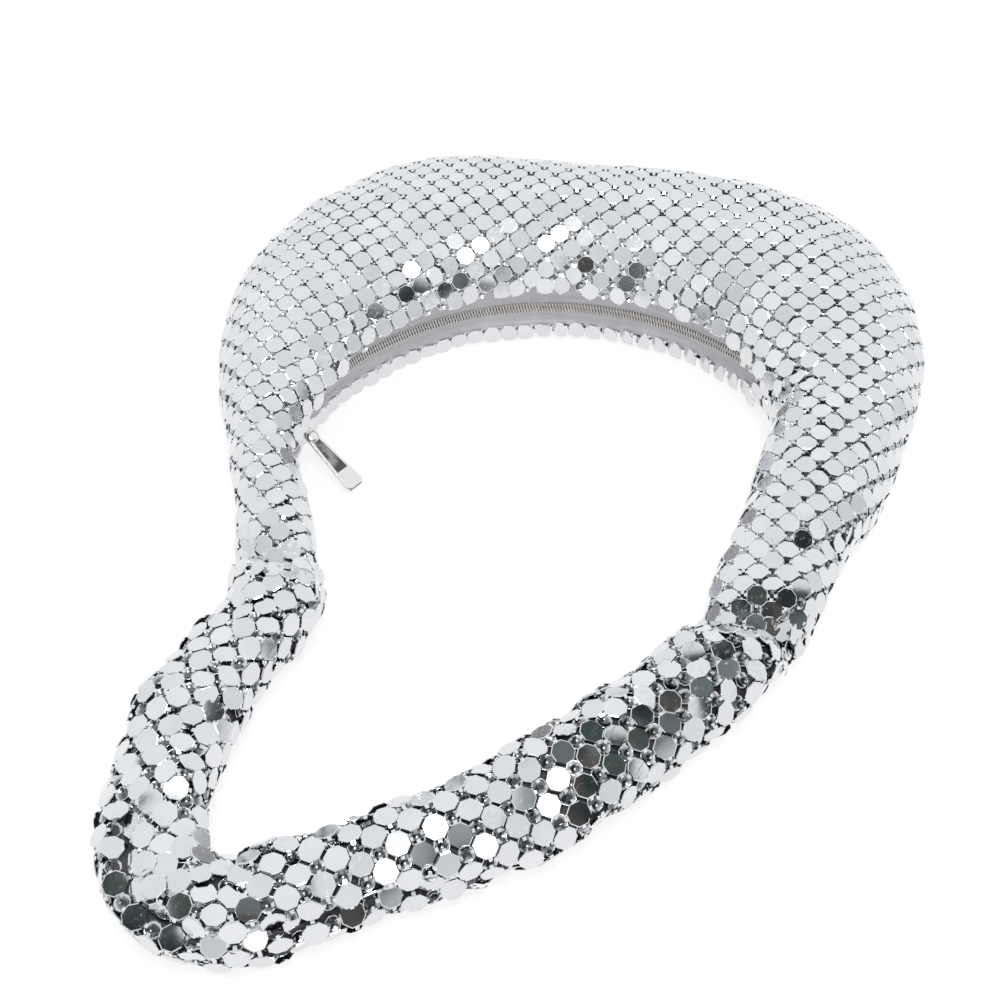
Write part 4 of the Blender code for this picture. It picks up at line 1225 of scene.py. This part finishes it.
def wear_group():
    """Fine scratches and soft smudges of handled metal."""
    group, start, end = new_group(
        "Metal wear",
        [("Vector", "NodeSocketVector", None), ("Scratch size", "NodeSocketFloat", 900.0),
         ("Smudge size", "NodeSocketFloat", 60.0)],
        [("Scratches", "NodeSocketFloat"), ("Smudges", "NodeSocketFloat")])
    nodes = Nodes(group)
    masks = []
    for spin, stretch in SCRATCH_SETS:
        turned = nodes.add("VectorRotate", {"rotation_type": "AXIS_ANGLE"}, Vector=start.outputs["Vector"],
                           Angle=spin, Axis=SCRATCH_AXIS)
        thin = nodes.add("VectorMath", {"operation": "MULTIPLY"}, i0=turned.outputs[0], i1=stretch)
        grain = nodes.noise(thin.outputs[0], start.outputs["Scratch size"], Roughness=0.6)
        masks.append(nodes.fit(grain, *SCRATCH_MASK))
    scratches = nodes.math("MAXIMUM", *masks)
    smudge = nodes.noise(start.outputs["Vector"], start.outputs["Smudge size"], 3.0, Roughness=0.55)
    nodes.fill(end, Scratches=scratches, Smudges=nodes.fit(smudge, *SMUDGE_MASK))
    return group


def weave_group():
    """Plain weave: height and shade of crossing threads."""
    group, start, end = new_group(
        "Weave",
        [("Vector", "NodeSocketVector", None), ("Threads per metre", "NodeSocketFloat", 3000.0)],
        [("Height", "NodeSocketFloat"), ("Shade", "NodeSocketFloat")])
    nodes = Nodes(group)
    heights = []
    for axis in (0, 1):
        split = nodes.add("SeparateXYZ", i0=start.outputs["Vector"])
        phase = nodes.times(split.outputs[axis], start.outputs["Threads per metre"])
        other = nodes.times(split.outputs[1 - axis], start.outputs["Threads per metre"])
        bump = nodes.math("SINE", nodes.times(phase, WHOLE))
        over = nodes.math("SINE", nodes.times(other, HALF))
        heights.append(nodes.times(nodes.math("ABSOLUTE", bump), nodes.math("ABSOLUTE", over)))
    height = nodes.math("MAXIMUM", *heights)
    fibre = nodes.noise(start.outputs["Vector"], 900.0)
    shade = nodes.math("MULTIPLY_ADD", height, 0.5, nodes.times(fibre, 0.6))
    nodes.fill(end, Height=height, Shade=shade)
    return group


def new_material(name):
    """Node material, with its nodes and its Principled shader."""
    material = bpy.data.materials.new(name)
    material.use_nodes = True
    return material, Nodes(material.node_tree), material.node_tree.nodes["Principled BSDF"]


def rgba(colour, share=1.0):
    """A colour, lighter or darker by a share, with full alpha."""
    return (*(min(1.0, part * share) for part in colour), 1.0)


def group_named(name, maker):
    """A node group that is made once and shared."""
    return bpy.data.node_groups.get(name) or maker()


def polished_metal(name, colour, rough, tone_spread=0.0, scratch_size=900.0, worn_and_shaded=0.10, hollow_shade=0.0):
    """Polished metal with fine scratches and smudges, toned piece by piece, and darkened in its hollows as
    painted shade.
    """
    material, nodes, shader = new_material(name)
    wear = {"node_tree": group_named("Metal wear", wear_group)}
    scratches, smudges = nodes.add("Group", wear, Vector=nodes.place(), Scratch_size=scratch_size).outputs
    base = nodes.mix(nodes.times(smudges, SMUDGE_SHARE), rgba(colour), rgba(colour, SMUDGE_TONE))
    if tone_spread:
        own = nodes.times(nodes.attribute("tone"), tone_spread)
        base = nodes.mix(own, base, rgba(colour, DARKEST_PLAQUE))
    # Painted shade: a link darkens towards the middle of its dish, where the gap under the plaques lies in
    # shade
    if hollow_shade:
        deep = nodes.fit(nodes.attribute("depth"), *HOLLOW_SHADE_MASK, 0.0, hollow_shade)
        base = nodes.mix(deep, base, rgba(PAINTED_HOLLOW_SHADE))
    base = nodes.mix(nodes.times(scratches, SCRATCH_SHARE), base, rgba(colour, SCRATCH_TONE))
    roughness = nodes.math("MULTIPLY_ADD", smudges, SMUDGE_ROUGHNESS, rough)
    roughness = nodes.math("MULTIPLY_ADD", scratches, worn_and_shaded, roughness)
    bump = nodes.add("Bump", Height=scratches, Strength=SCRATCH_BUMP, Distance=SCRATCH_DEPTH)
    nodes.fill(shader, Base_Color=base, Roughness=roughness, Metallic=1.0, Normal=bump.outputs[0])
    return material


def woven_cloth(name, colour, threads, rough, sheen, strength, streaks=0.0):
    """Woven satin or tape: threads from the weave, and slow changes of tone along the cloth."""
    material, nodes, shader = new_material(name)
    cloth = nodes.add("UVMap", {"uv_map": "cloth"}).outputs[0]
    weave = {"node_tree": group_named("Weave", weave_group)}
    height, shade = nodes.add("Group", weave, Vector=cloth, Threads_per_metre=threads).outputs
    base = nodes.mix(shade, *(rgba(colour, tone) for tone in THREAD_TONES))
    if streaks:
        long_way = nodes.add("VectorMath", {"operation": "MULTIPLY"}, i0=cloth, i1=STREAK_STRETCH)
        bands = nodes.noise(long_way.outputs[0], 1.0)
        base = nodes.mix(nodes.fit(bands, *STREAK_MASK, 0.0, streaks), base, rgba(colour, STREAK_TONE))
    bump = nodes.add("Bump", Height=height, Strength=strength, Distance=THREAD_DEPTH)
    nodes.fill(shader, Base_Color=base, Roughness=rough, Sheen_Weight=sheen,
               Sheen_Roughness=SHEEN_ROUGHNESS, Normal=bump.outputs[0])
    return material


def dress(piece, material, body=None, replaced=()):
    """Give a piece its material, its body and the nodes that it stands for."""
    piece.data.materials.clear()
    piece.data.materials.append(material)
    if body == "fold":
        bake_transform(piece)
    elif body:
        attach(piece, body)
    if replaced:
        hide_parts(*replaced)
    return piece


def apply_modifiers(piece):
    """Turn a piece's modifiers into mesh."""
    graph = bpy.context.evaluated_depsgraph_get()
    mesh = bpy.data.meshes.new_from_object(piece.evaluated_get(graph))
    piece.modifiers.clear()
    piece.data = mesh
    return piece


class CLUTCH_OT_stage(bpy.types.Operator):
    """Camera, white floor, pale studio and one plain lamp overhead."""

    bl_idname = "clutch.stage"
    bl_label = "Stage"

    def execute(self, context):
        stage = context.scene.clutch_stage
        camera = new_object("camera", bpy.data.cameras.new("camera"))
        camera.data.sensor_width = SENSOR_WIDTH
        camera.data.lens = stage.lens
        camera.data.clip_start = CAMERA_NEAR
        camera.location = stage.place
        camera.rotation_euler = (QUARTER - stage.pitch_down, 0.0, 0.0)
        context.scene.camera = camera

        corners = [(FLOOR_HALF * across, FLOOR_HALF * away, 0.0)
                   for across, away in ((-1, -1), (1, -1), (1, 1), (-1, 1))]
        floor = mesh_object("floor", corners, [(0, 1, 2, 3)])
        material, nodes, shader = new_material("floor")
        seen = self.seen_rays(nodes)
        nodes.fill(shader, Base_Color=nodes.mix(seen, rgba(stage.floor), rgba([FLOOR_SHADE] * 3)),
                   Roughness=0.9, Specular_IOR_Level=0.0, Emission_Color=WHITE,
                   Emission_Strength=nodes.times(seen, FLOOR_GLOW))
        floor.data.materials.append(material)

        lamp = bpy.data.lights.new("overhead", "AREA")
        lamp.shape = "DISK"
        lamp.size = LAMP_SIZE
        lamp.energy = stage.lamp
        lamp.color = LAMP_COLOUR
        overhead = new_object("overhead", lamp)
        overhead.location = LAMP_PLACE
        overhead.rotation_euler = (-Vector(overhead.location)).to_track_quat("-Z", "Y").to_euler()
        self.light_world(context.scene, stage)
        self.pale_dome(stage)
        self.dim_card(stage)
        context.scene.view_settings.view_transform = "Standard"
        return {"FINISHED"}

    def seen_rays(self, nodes):
        """1 for the rays of the camera and for those that metal and glass send on, otherwise 0."""
        path = nodes.add("LightPath").outputs
        mirrored = nodes.math("MAXIMUM", path["Is Glossy Ray"], path["Is Transmission Ray"])
        return nodes.math("MAXIMUM", path["Is Camera Ray"], mirrored)

    def light_world(self, scene, stage):
        """Pale light from all round, with white behind the bag."""
        world = bpy.data.worlds.new("studio")
        scene.world = world
        world.use_nodes = True
        nodes = Nodes(world.node_tree)
        world.node_tree.nodes.clear()
        lit = nodes.add("Background", Color=rgba(stage.world), Strength=1.0)
        white = nodes.add("Background", Color=WHITE, Strength=1.0)
        mixed = nodes.add("MixShader", i0=self.seen_rays(nodes), i1=lit.outputs[0], i2=white.outputs[0])
        out = nodes.add("OutputWorld", Surface=mixed.outputs[0])
        out.is_active_output = True

    def screen(self, name, grid):
        """Curved screen on a grid of points, which only the mirrors see, and its nodes."""
        piece = mesh_object(name, grid.reshape(-1, 3), grid_faces(*grid.shape[:2]))
        material = bpy.data.materials.new(name)
        material.use_nodes = True
        material.node_tree.nodes.clear()
        piece.data.materials.append(material)
        for ray in ("camera", "diffuse", "shadow", "transmission", "volume_scatter"):
            setattr(piece, "visible_" + ray, False)
        return Nodes(material.node_tree)

    def pale_dome(self, stage):
        """Light tent far round the bag, whose soft changes of tone show in the plaques."""
        grid = dome_points(np.linspace(-180.0, 180.0, 49), np.linspace(*DOME_HEIGHTS, 15)) * DOME_RADIUS
        nodes = self.screen("pale_dome", grid)
        place = nodes.add("VectorMath", {"operation": "SCALE"}, i0=nodes.place(), Scale=1 / DOME_RADIUS)
        place = place.outputs[0]
        clouds = nodes.noise(place, DOME_CLOUDS, 3.0)
        depth = nodes.add("SeparateXYZ", i0=place).outputs[1]
        dim = nodes.times(nodes.fit(clouds, *CLOUD_MASK), nodes.fit(depth, *DOME_BACK_PALE))
        tone = nodes.mix(dim, rgba(stage.world), rgba(stage.world, DOME_DIM_SHARE))
        glow = nodes.add("Emission", Color=tone, Strength=DOME_STRENGTH)
        nodes.add("OutputMaterial", Surface=glow.outputs[0])

    def dim_card(self, stage):
        """Card with dim patches: a curved part in front of the set and a flat one over the handle."""
        curve = dome_points(np.linspace(*CARD_BEARINGS, 41), np.linspace(*CARD_HEIGHTS, 13))
        cards = [("dim_card", curve * CARD_RADIUS + CARD_CENTRE, CARD_PATCH)]
        for number, (low, high) in enumerate(FLAT_CARDS):
            across, away = np.meshgrid((low[0], high[0]), (low[1], high[1]))
            flat = np.stack([across, away, np.full((2, 2), FLAT_CARD_LEVEL)], axis=2)
            cards.append((f"dim_card_flat_{number}", flat, FLAT_CARD_PATCH))
        for name, grid, patch in cards:
            nodes = self.screen(name, grid)
            place = nodes.place()
            cells = nodes.add("TexVoronoi", Vector=place, Scale=1 / patch)
            pick = nodes.add("SeparateXYZ", i0=cells.outputs["Color"]).outputs[0]
            aside, _, level = nodes.add("SeparateXYZ", i0=place).outputs
            pick = nodes.times(pick, nodes.fit(aside, *CARD_RIGHT_DIM))
            paler = nodes.times(nodes.fit(level, *CARD_TOP_PALE), nodes.fit(aside, *CARD_TOP_REACH))
            pick = nodes.math("ADD", pick, paler)
            ramp = nodes.add("ValToRGB", Fac=pick)
            bands = ramp.color_ramp
            bands.interpolation = "CONSTANT"
            for index, (position, colour) in enumerate(CARD_TONE_SHARES):
                stop = bands.elements[index] if index < 2 else bands.elements.new(position)
                stop.position = position
                stop.color = (*colour, 1.0)
            glow = nodes.add("Emission", Color=ramp.outputs[0], Strength=1.0)
            clear = nodes.add("BsdfTransparent")
            bare = nodes.math("GREATER_THAN", pick, CARD_TONE_SHARES[-1][0])
            mixed = nodes.add("MixShader", i0=bare, i1=glow.outputs[0], i2=clear.outputs[0])
            nodes.add("OutputMaterial", Surface=mixed.outputs[0])


class CLUTCH_OT_plaques(bpy.types.Operator):
    """Linked metal plaques of the pouch, its arms and the handle, with the small cups that join them."""

    bl_idname = "clutch.plaques"
    bl_label = "Plaques and links"

    def execute(self, context):
        cloth = context.scene.clutch_cloth
        chance = np.random.default_rng(TONE_SEED)
        plate = polished_metal("silver_plaque", cloth.silver, ROUGHNESS["plaque"], tone_spread=0.35)
        prong = polished_metal("silver_prong", cloth.silver, ROUGHNESS["prong"])
        # Links: a darker silver and a darkening towards their middle are painted shade of their recess under
        # the plaques, far darker on the fold and the handle
        worn_and_shaded = [LINK_SHADE_TONE * part for part in cloth.silver]
        link = polished_metal("silver_link", worn_and_shaded, ROUGHNESS["link"], hollow_shade=0.30)
        deep_shaded_link = polished_metal("silver_link_deep_painted_shade", worn_and_shaded, ROUGHNESS["link"], hollow_shade=0.90)
        made = lay_cloth(cloth)
        grow = cloth.handle_growth
        bodies = {"front": "bag", "back": "bag", "fold": "fold", "handle": "handle"}
        stands_for = {"front": ("front_panel",), "back": ("back_panel",), "handle": ("handle_mesh",)}
        for part, body in bodies.items():
            group = made["plaques", part]
            plaques = repeat_shape("plaques_" + part, plaque_shape(cloth), group, chance, PLAQUE_REST, grow)
            dress(plaques, plate, body, stands_for.get(part, ()))
            prongs = repeat_shape("prongs_" + part, prong_shape(cloth), group, chance, 0.0, grow)
            dress(prongs, prong, body)
            group = made["links", part]
            cups = repeat_shape("links_" + part, link_shape(cloth), group, chance, 0.0, grow, True)
            dress(cups, link if body == "bag" else deep_shaded_link, body)
        return {"FINISHED"}


class CLUTCH_OT_lining(bpy.types.Operator):
    """Dark satin behind the plaques: the pouch's two panels and its end panels."""

    bl_idname = "clutch.lining"
    bl_label = "Lining"

    def execute(self, context):
        cloth = context.scene.clutch_cloth
        satin = woven_cloth("satin_lining", cloth.lining, *SATIN)
        places = np.linspace(0, POUCH.last, 220)
        high, low, _ = rim_angles(places)
        shares = np.linspace(0, 1, 44)
        upper = EDGE_ROOM + (high - RIM_ROOM)[:, None] * shares
        lower = (low + RIM_ROOM)[:, None] + (WHOLE - EDGE_ROOM - low - RIM_ROOM)[:, None] * shares
        for name, angles, node, crest in (("lining_upper", upper, "lining_front", 1.0),
                                          ("lining_lower", lower, "lining_back", -1.0)):
            piece = sheet_object(name, POUCH.grid(places, angles, LINING_DEPTH), LINING_THICKNESS)
            face_away(piece, lambda at: (at.x, at.y, at.z - crest))
            dress(apply_modifiers(piece), satin, "fold", (node,))
        for name, place in END_PANEL_PLACES.items():
            self.end_panel(name, place, satin)
        return {"FINISHED"}

    def end_panel(self, name, place, satin):
        """Round end of the lining, drawn in towards the arm in soft pleats."""
        rings = 10
        sides = 48
        angles = np.linspace(0, WHOLE, sides, endpoint=False)
        centre = POUCH.at(np.full(sides, place), angles, END_CENTRE_DEPTH).mean(axis=0)
        edge = POUCH.at(np.full(sides, place), angles, END_PANEL_DEPTH)
        step = 0.1
        before, after = POUCH.at(np.array([place - step, place + step]), np.array([QUARTER, QUARTER]))
        travel = unit((after - before) * (1, 1, 0)) * (-1.0 if place < POUCH.last / 2 else 1.0)
        grid = []
        for share in np.linspace(END_CENTRE_SHARE, 1.0, rings):
            pleat = PLEAT_HEIGHT * share * (1 - share) * 4 * np.cos(PLEATS * angles)
            bulge = END_PANEL_BULGE * (1 - share ** 2) + pleat
            grid.append(centre + (edge - centre) * share + travel * bulge[:, None])
        piece = sheet_object(name + "_cloth", np.array(grid), END_PANEL_THICKNESS, closed=True)
        dress(apply_modifiers(piece), satin, "bag", (name,))


class CLUTCH_OT_sleeve(bpy.types.Operator):
    """Soft sleeve that fills out the handle under its plaques, near black as painted shade in the gaps
    between them.
    """

    bl_idname = "clutch.sleeve"
    bl_label = "Handle sleeve"

    def execute(self, context):
        cloth = context.scene.clutch_cloth
        satin = woven_cloth("satin_sleeve_painted_shade", cloth.sleeve, *SATIN)
        places = np.linspace(0, HANDLE.last, 240)
        angles = np.linspace(0, WHOLE, 49)[:-1]
        grid = HANDLE.grid(places, angles, LINING_DEPTH)
        piece = sheet_object("handle_sleeve", grid, LINING_THICKNESS, closed=True)
        line = smooth_rows(HANDLE_ROWS, np.linspace(0, HANDLE.last, 200))[:, :2]
        line = np.column_stack([line + PLAN_CENTRE[:2], np.full(len(line), ARM_HEIGHT / 2)])
        face_away(piece, lambda at: line[np.argmin(np.linalg.norm(line - np.array(at), axis=1))])
        dress(apply_modifiers(piece), satin, "fold", ("handle_core",))
        return {"FINISHED"}


def tape_grid(side):
    """Points of a zip tape from its chain edge to where it is tucked behind the rim."""
    fine = np.linspace(0, POUCH.last, 900)
    bearings = smooth_rows(POUCH_ROWS, fine)[:, 0]
    places = np.linspace(np.interp(TAPE_START, bearings, fine), np.interp(TAPE_END, bearings, fine), 150)
    high, low, _ = rim_angles(places)
    rim = high if side > 0 else low
    around = np.linalg.norm(POUCH.slopes(places, rim, RIM_REACH)[1], axis=1)
    level = ZIP_CENTRE[2]
    spans = pouch_spans(places)
    own = np.degrees(np.arctan2(spans[0][:, 1], spans[0][:, 0]))
    beyond = np.maximum(ZIP_START - own, own - ZIP_END)
    edge = COIL_PARTING / 2 + 2 * COIL_RADIUS - TAPE_UNDER_COIL
    edge = edge * (1 - smooth_share(beyond / TAPE_CLOSE))
    rows = []
    for share in np.linspace(0, 1, 4):
        plan = polar(own, np.full(len(own), ZIP_RADIUS)) + PLAN_CENTRE[:2]
        rows.append(np.column_stack([plan, level + side * (edge + (STRAIGHT_TAPE - edge) * share)]))
    tucked = [POUCH.at(places, rim - side * distance / around, TAPE_DEPTH) for distance in (0.0, TAPE_TUCK)]
    for share in TAPE_BEND_SHARES:
        rows.append(rows[3] * (1 - share) + tucked[0] * share)
    rows += tucked
    return np.stack(rows, axis=1)


class CLUTCH_OT_zip_tapes(bpy.types.Operator):
    """The two woven zip tapes."""

    bl_idname = "clutch.zip_tapes"
    bl_label = "Zip tapes"

    def execute(self, context):
        colours = context.scene.clutch_zip
        cloth = woven_cloth("zip_tape", colours.tape, *TAPE, streaks=0.35)
        for name, side in ZIP_SIDES.items():
            piece = sheet_object("tape_" + name, tape_grid(side), TAPE_THICKNESS)
            face_away(piece, lambda at: (2 * at.x - ZIP_CENTRE[0], 2 * at.y - ZIP_CENTRE[1], at.z))
            smooth = piece.modifiers.new("smooth", "SUBSURF")
            smooth.levels = 1
            smooth.render_levels = 1
            dress(apply_modifiers(piece), cloth, "bag", ("zip_tape_" + name,))
        return {"FINISHED"}


class CLUTCH_OT_zip_coils(bpy.types.Operator):
    """The two coils of the zip, wound from a fine filament and meshed along the middle."""

    bl_idname = "clutch.zip_coils"
    bl_label = "Zip coils"

    def execute(self, context):
        zips = context.scene.clutch_zip
        material, nodes, shader = new_material("zip_coil")
        grain = nodes.noise(nodes.place(), COIL_GRAIN)
        nodes.fill(shader, Base_Color=nodes.mix(grain, *(rgba(zips.coil, tone) for tone in COIL_TONES)),
                   Roughness=nodes.fit(grain, *COIL_ROUGHNESS))
        length = math.radians(ZIP_END - ZIP_START) * ZIP_RADIUS
        turns = int(length / zips.tooth_pitch)
        points_each = 10
        steps = np.arange(turns * points_each + 1)
        for name, side in ZIP_SIDES.items():
            phase = WHOLE * steps / points_each + (HALF if side < 0 else 0.0)
            bearings = ZIP_START + (ZIP_END - ZIP_START) * steps / steps[-1]
            middle = side * (COIL_PARTING / 2 + COIL_RADIUS - COIL_MESH)
            tall = COIL_RADIUS + COIL_TALLER - zips.wire
            deep = COIL_DEPTH_SHARE * COIL_RADIUS
            plan = polar(bearings, ZIP_RADIUS + deep * np.sin(phase))
            height = ZIP_CENTRE[2] + middle + tall * np.cos(phase)
            curve = bpy.data.curves.new("coil_" + name, "CURVE")
            curve.dimensions = "3D"
            curve.bevel_depth = zips.wire
            curve.bevel_resolution = 1
            curve.use_fill_caps = True
            spline = curve.splines.new("POLY")
            spline.points.add(len(steps) - 1)
            flat = np.column_stack([plan + PLAN_CENTRE[:2], height, np.ones(len(steps))])
            spline.points.foreach_set("co", flat.ravel())
            dress(new_object("coil_" + name, curve), material, "bag", ("zip_coil_" + name,))
        return {"FINISHED"}


class CLUTCH_OT_zip_metal(bpy.types.Operator):
    """Polished nickel for the stops, the slider and the pull."""

    bl_idname = "clutch.zip_metal"
    bl_label = "Zip metal"

    def execute(self, context):
        colours = context.scene.clutch_zip
        nickel = polished_metal("nickel", colours.nickel, ROUGHNESS["nickel"], scratch_size=1500.0)
        for node in ("zip_top_stop_upper", "zip_top_stop_lower", "zip_bottom_stop", "slider_body",
                     "slider_bridge", "pull_tab"):
            piece = frame["nodes"][node]
            piece.data.materials.clear()
            piece.data.materials.append(nickel)
        return {"FINISHED"}


def pull_frame():
    """Axes of the pull at rest, as rows: across it, down it and out of its face."""
    across = unit(np.array(JOINTS["pull_swing"]["axis"], dtype=float))
    level = np.array([-across[1], across[0], 0.0])
    down = math.cos(PULL_DROOP) * level - math.sin(PULL_DROOP) * np.array([0.0, 0.0, 1.0])
    return np.array([across, down, np.cross(across, down)])


class CLUTCH_OT_pull_trim(bpy.types.Operator):
    """Dark brushed plate in the pull's recess as a painted dark reflection, the dark plate on its end as
    painted shade, and the round boss at its neck.
    """

    bl_idname = "clutch.pull_trim"
    bl_label = "Pull trim"

    def execute(self, context):
        place = np.array(JOINTS["pull_swing"]["pos_m"])
        axes = pull_frame()
        brushed = self.brushed_painted_dark(context.scene.clutch_zip.dark)
        half_at = [PULL_NECK_WIDTH / 2 + (PULL_END_WIDTH - PULL_NECK_WIDTH) / 2 * share for share in (0, 1)]
        slope = (half_at[1] - half_at[0]) / (PULL_LENGTH - PULL_START)
        stops = (RECESS_START + TRIM_GAP, PULL_LENGTH - END_BLOCK - TRIM_GAP)
        halves = [half_at[0] + slope * (stop - PULL_START) - RECESS_BORDER - TRIM_GAP for stop in stops]
        top = PULL_THICKNESS / 2
        end_half = PULL_END_WIDTH / 2 - PULL_CORNER
        end = [(end_half, PULL_LENGTH), (end_half, PULL_LENGTH + END_SHADE_PLATE_THICKNESS)]
        reflection_plate_levels = [top - below for below in REFLECTION_PLATE_DEPTHS]
        for name, outline, levels in (("pull_painted_reflection", list(zip(halves, stops)), reflection_plate_levels),
                                      ("pull_end_painted_shade", end, (-top + PULL_EDGE, top - PULL_EDGE))):
            plate = self.plate(name, outline, levels, place, axes)
            dress(plate, brushed, "zip_pull")
        sides = 28
        points = ring_points(BOSS_LEVELS, BOSS_RADIUS, sides) + (0.0, BOSS_PLACE, top)
        last = (len(BOSS_LEVELS) - 1) * sides
        faces = grid_faces(len(BOSS_LEVELS), sides, True)
        faces += [tuple(reversed(range(sides))), tuple(range(last, last + sides))]
        boss = mesh_object("pull_boss", points @ axes + place, faces, True)
        dress(boss, bpy.data.materials["nickel"], "zip_pull")
        return {"FINISHED"}

    def plate(self, name, outline, levels, place, axes):
        """Tapered plate between two levels, with a slightly rounded edge. Its outline has half widths."""
        (near, start), (far, end) = outline
        corners = [(-near, start), (near, start), (far, end), (-far, end)]
        points = [(x, y, level) for level in levels for x, y in corners]
        faces = [(3, 2, 1, 0), (4, 5, 6, 7), *grid_faces(2, 4, True)]
        piece = mesh_object(name, np.array(points) @ axes + place, faces)
        soft = piece.modifiers.new("soft edge", "BEVEL")
        soft.width = min(SOFT_EDGE, (levels[1] - levels[0]) / 3)
        soft.segments = 2
        return apply_modifiers(piece)

    def brushed_painted_dark(self, colour):
        """Dark brushed metal, painted as a dark reflection and as shade, whose tone drifts along the brush
        marks.
        """
        material = polished_metal("dark_brushed_painted_reflection_and_shade", colour, ROUGHNESS["dark"], scratch_size=2600.0, worn_and_shaded=0.25)
        nodes = Nodes(material.node_tree)
        drift = nodes.fit(nodes.noise(nodes.place(), BRUSH_PATCHES), *BRUSH_MASK)
        nodes.fill(material.node_tree.nodes["Principled BSDF"],
                   Base_Color=nodes.mix(drift, *(rgba(colour, tone) for tone in BRUSH_TONES)))
        return material


class CLUTCH_PT_panel(bpy.types.Panel):
    """Sizes, colours and makers of the clutch's pieces."""

    bl_idname = "CLUTCH_PT_panel"
    bl_label = "Evening clutch"
    bl_space_type = "VIEW_3D"
    bl_region_type = "UI"
    bl_category = "Clutch"

    def draw(self, context):
        layout = self.layout
        for group in (context.scene.clutch_cloth, context.scene.clutch_zip, context.scene.clutch_stage):
            box = layout.box()
            for name in group.__annotations__:
                box.prop(group, name)
        for operator in OPERATORS:
            layout.operator(operator.bl_idname)


SETTINGS = {"clutch_cloth": ClutchCloth, "clutch_zip": ClutchZip, "clutch_stage": ClutchStage}
OPERATORS = (CLUTCH_OT_stage, CLUTCH_OT_plaques, CLUTCH_OT_lining, CLUTCH_OT_sleeve, CLUTCH_OT_zip_tapes,
             CLUTCH_OT_zip_coils, CLUTCH_OT_zip_metal, CLUTCH_OT_pull_trim)


def register():
    """Add the settings, the operators and the panel."""
    for name, settings in SETTINGS.items():
        bpy.utils.register_class(settings)
        setattr(bpy.types.Scene, name, PointerProperty(type=settings))
    for operator in OPERATORS:
        bpy.utils.register_class(operator)
    bpy.utils.register_class(CLUTCH_PT_panel)


def unregister():
    """Take away what register added."""
    bpy.utils.unregister_class(CLUTCH_PT_panel)
    for operator in reversed(OPERATORS):
        bpy.utils.unregister_class(operator)
    for name, settings in SETTINGS.items():
        delattr(bpy.types.Scene, name)
        bpy.utils.unregister_class(settings)


def main():
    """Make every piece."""
    register()
    bpy.ops.clutch.stage()
    bpy.ops.clutch.plaques()
    bpy.ops.clutch.lining()
    bpy.ops.clutch.sleeve()
    bpy.ops.clutch.zip_tapes()
    bpy.ops.clutch.zip_coils()
    bpy.ops.clutch.zip_metal()
    bpy.ops.clutch.pull_trim()


if __name__ == "__main__":
    main()
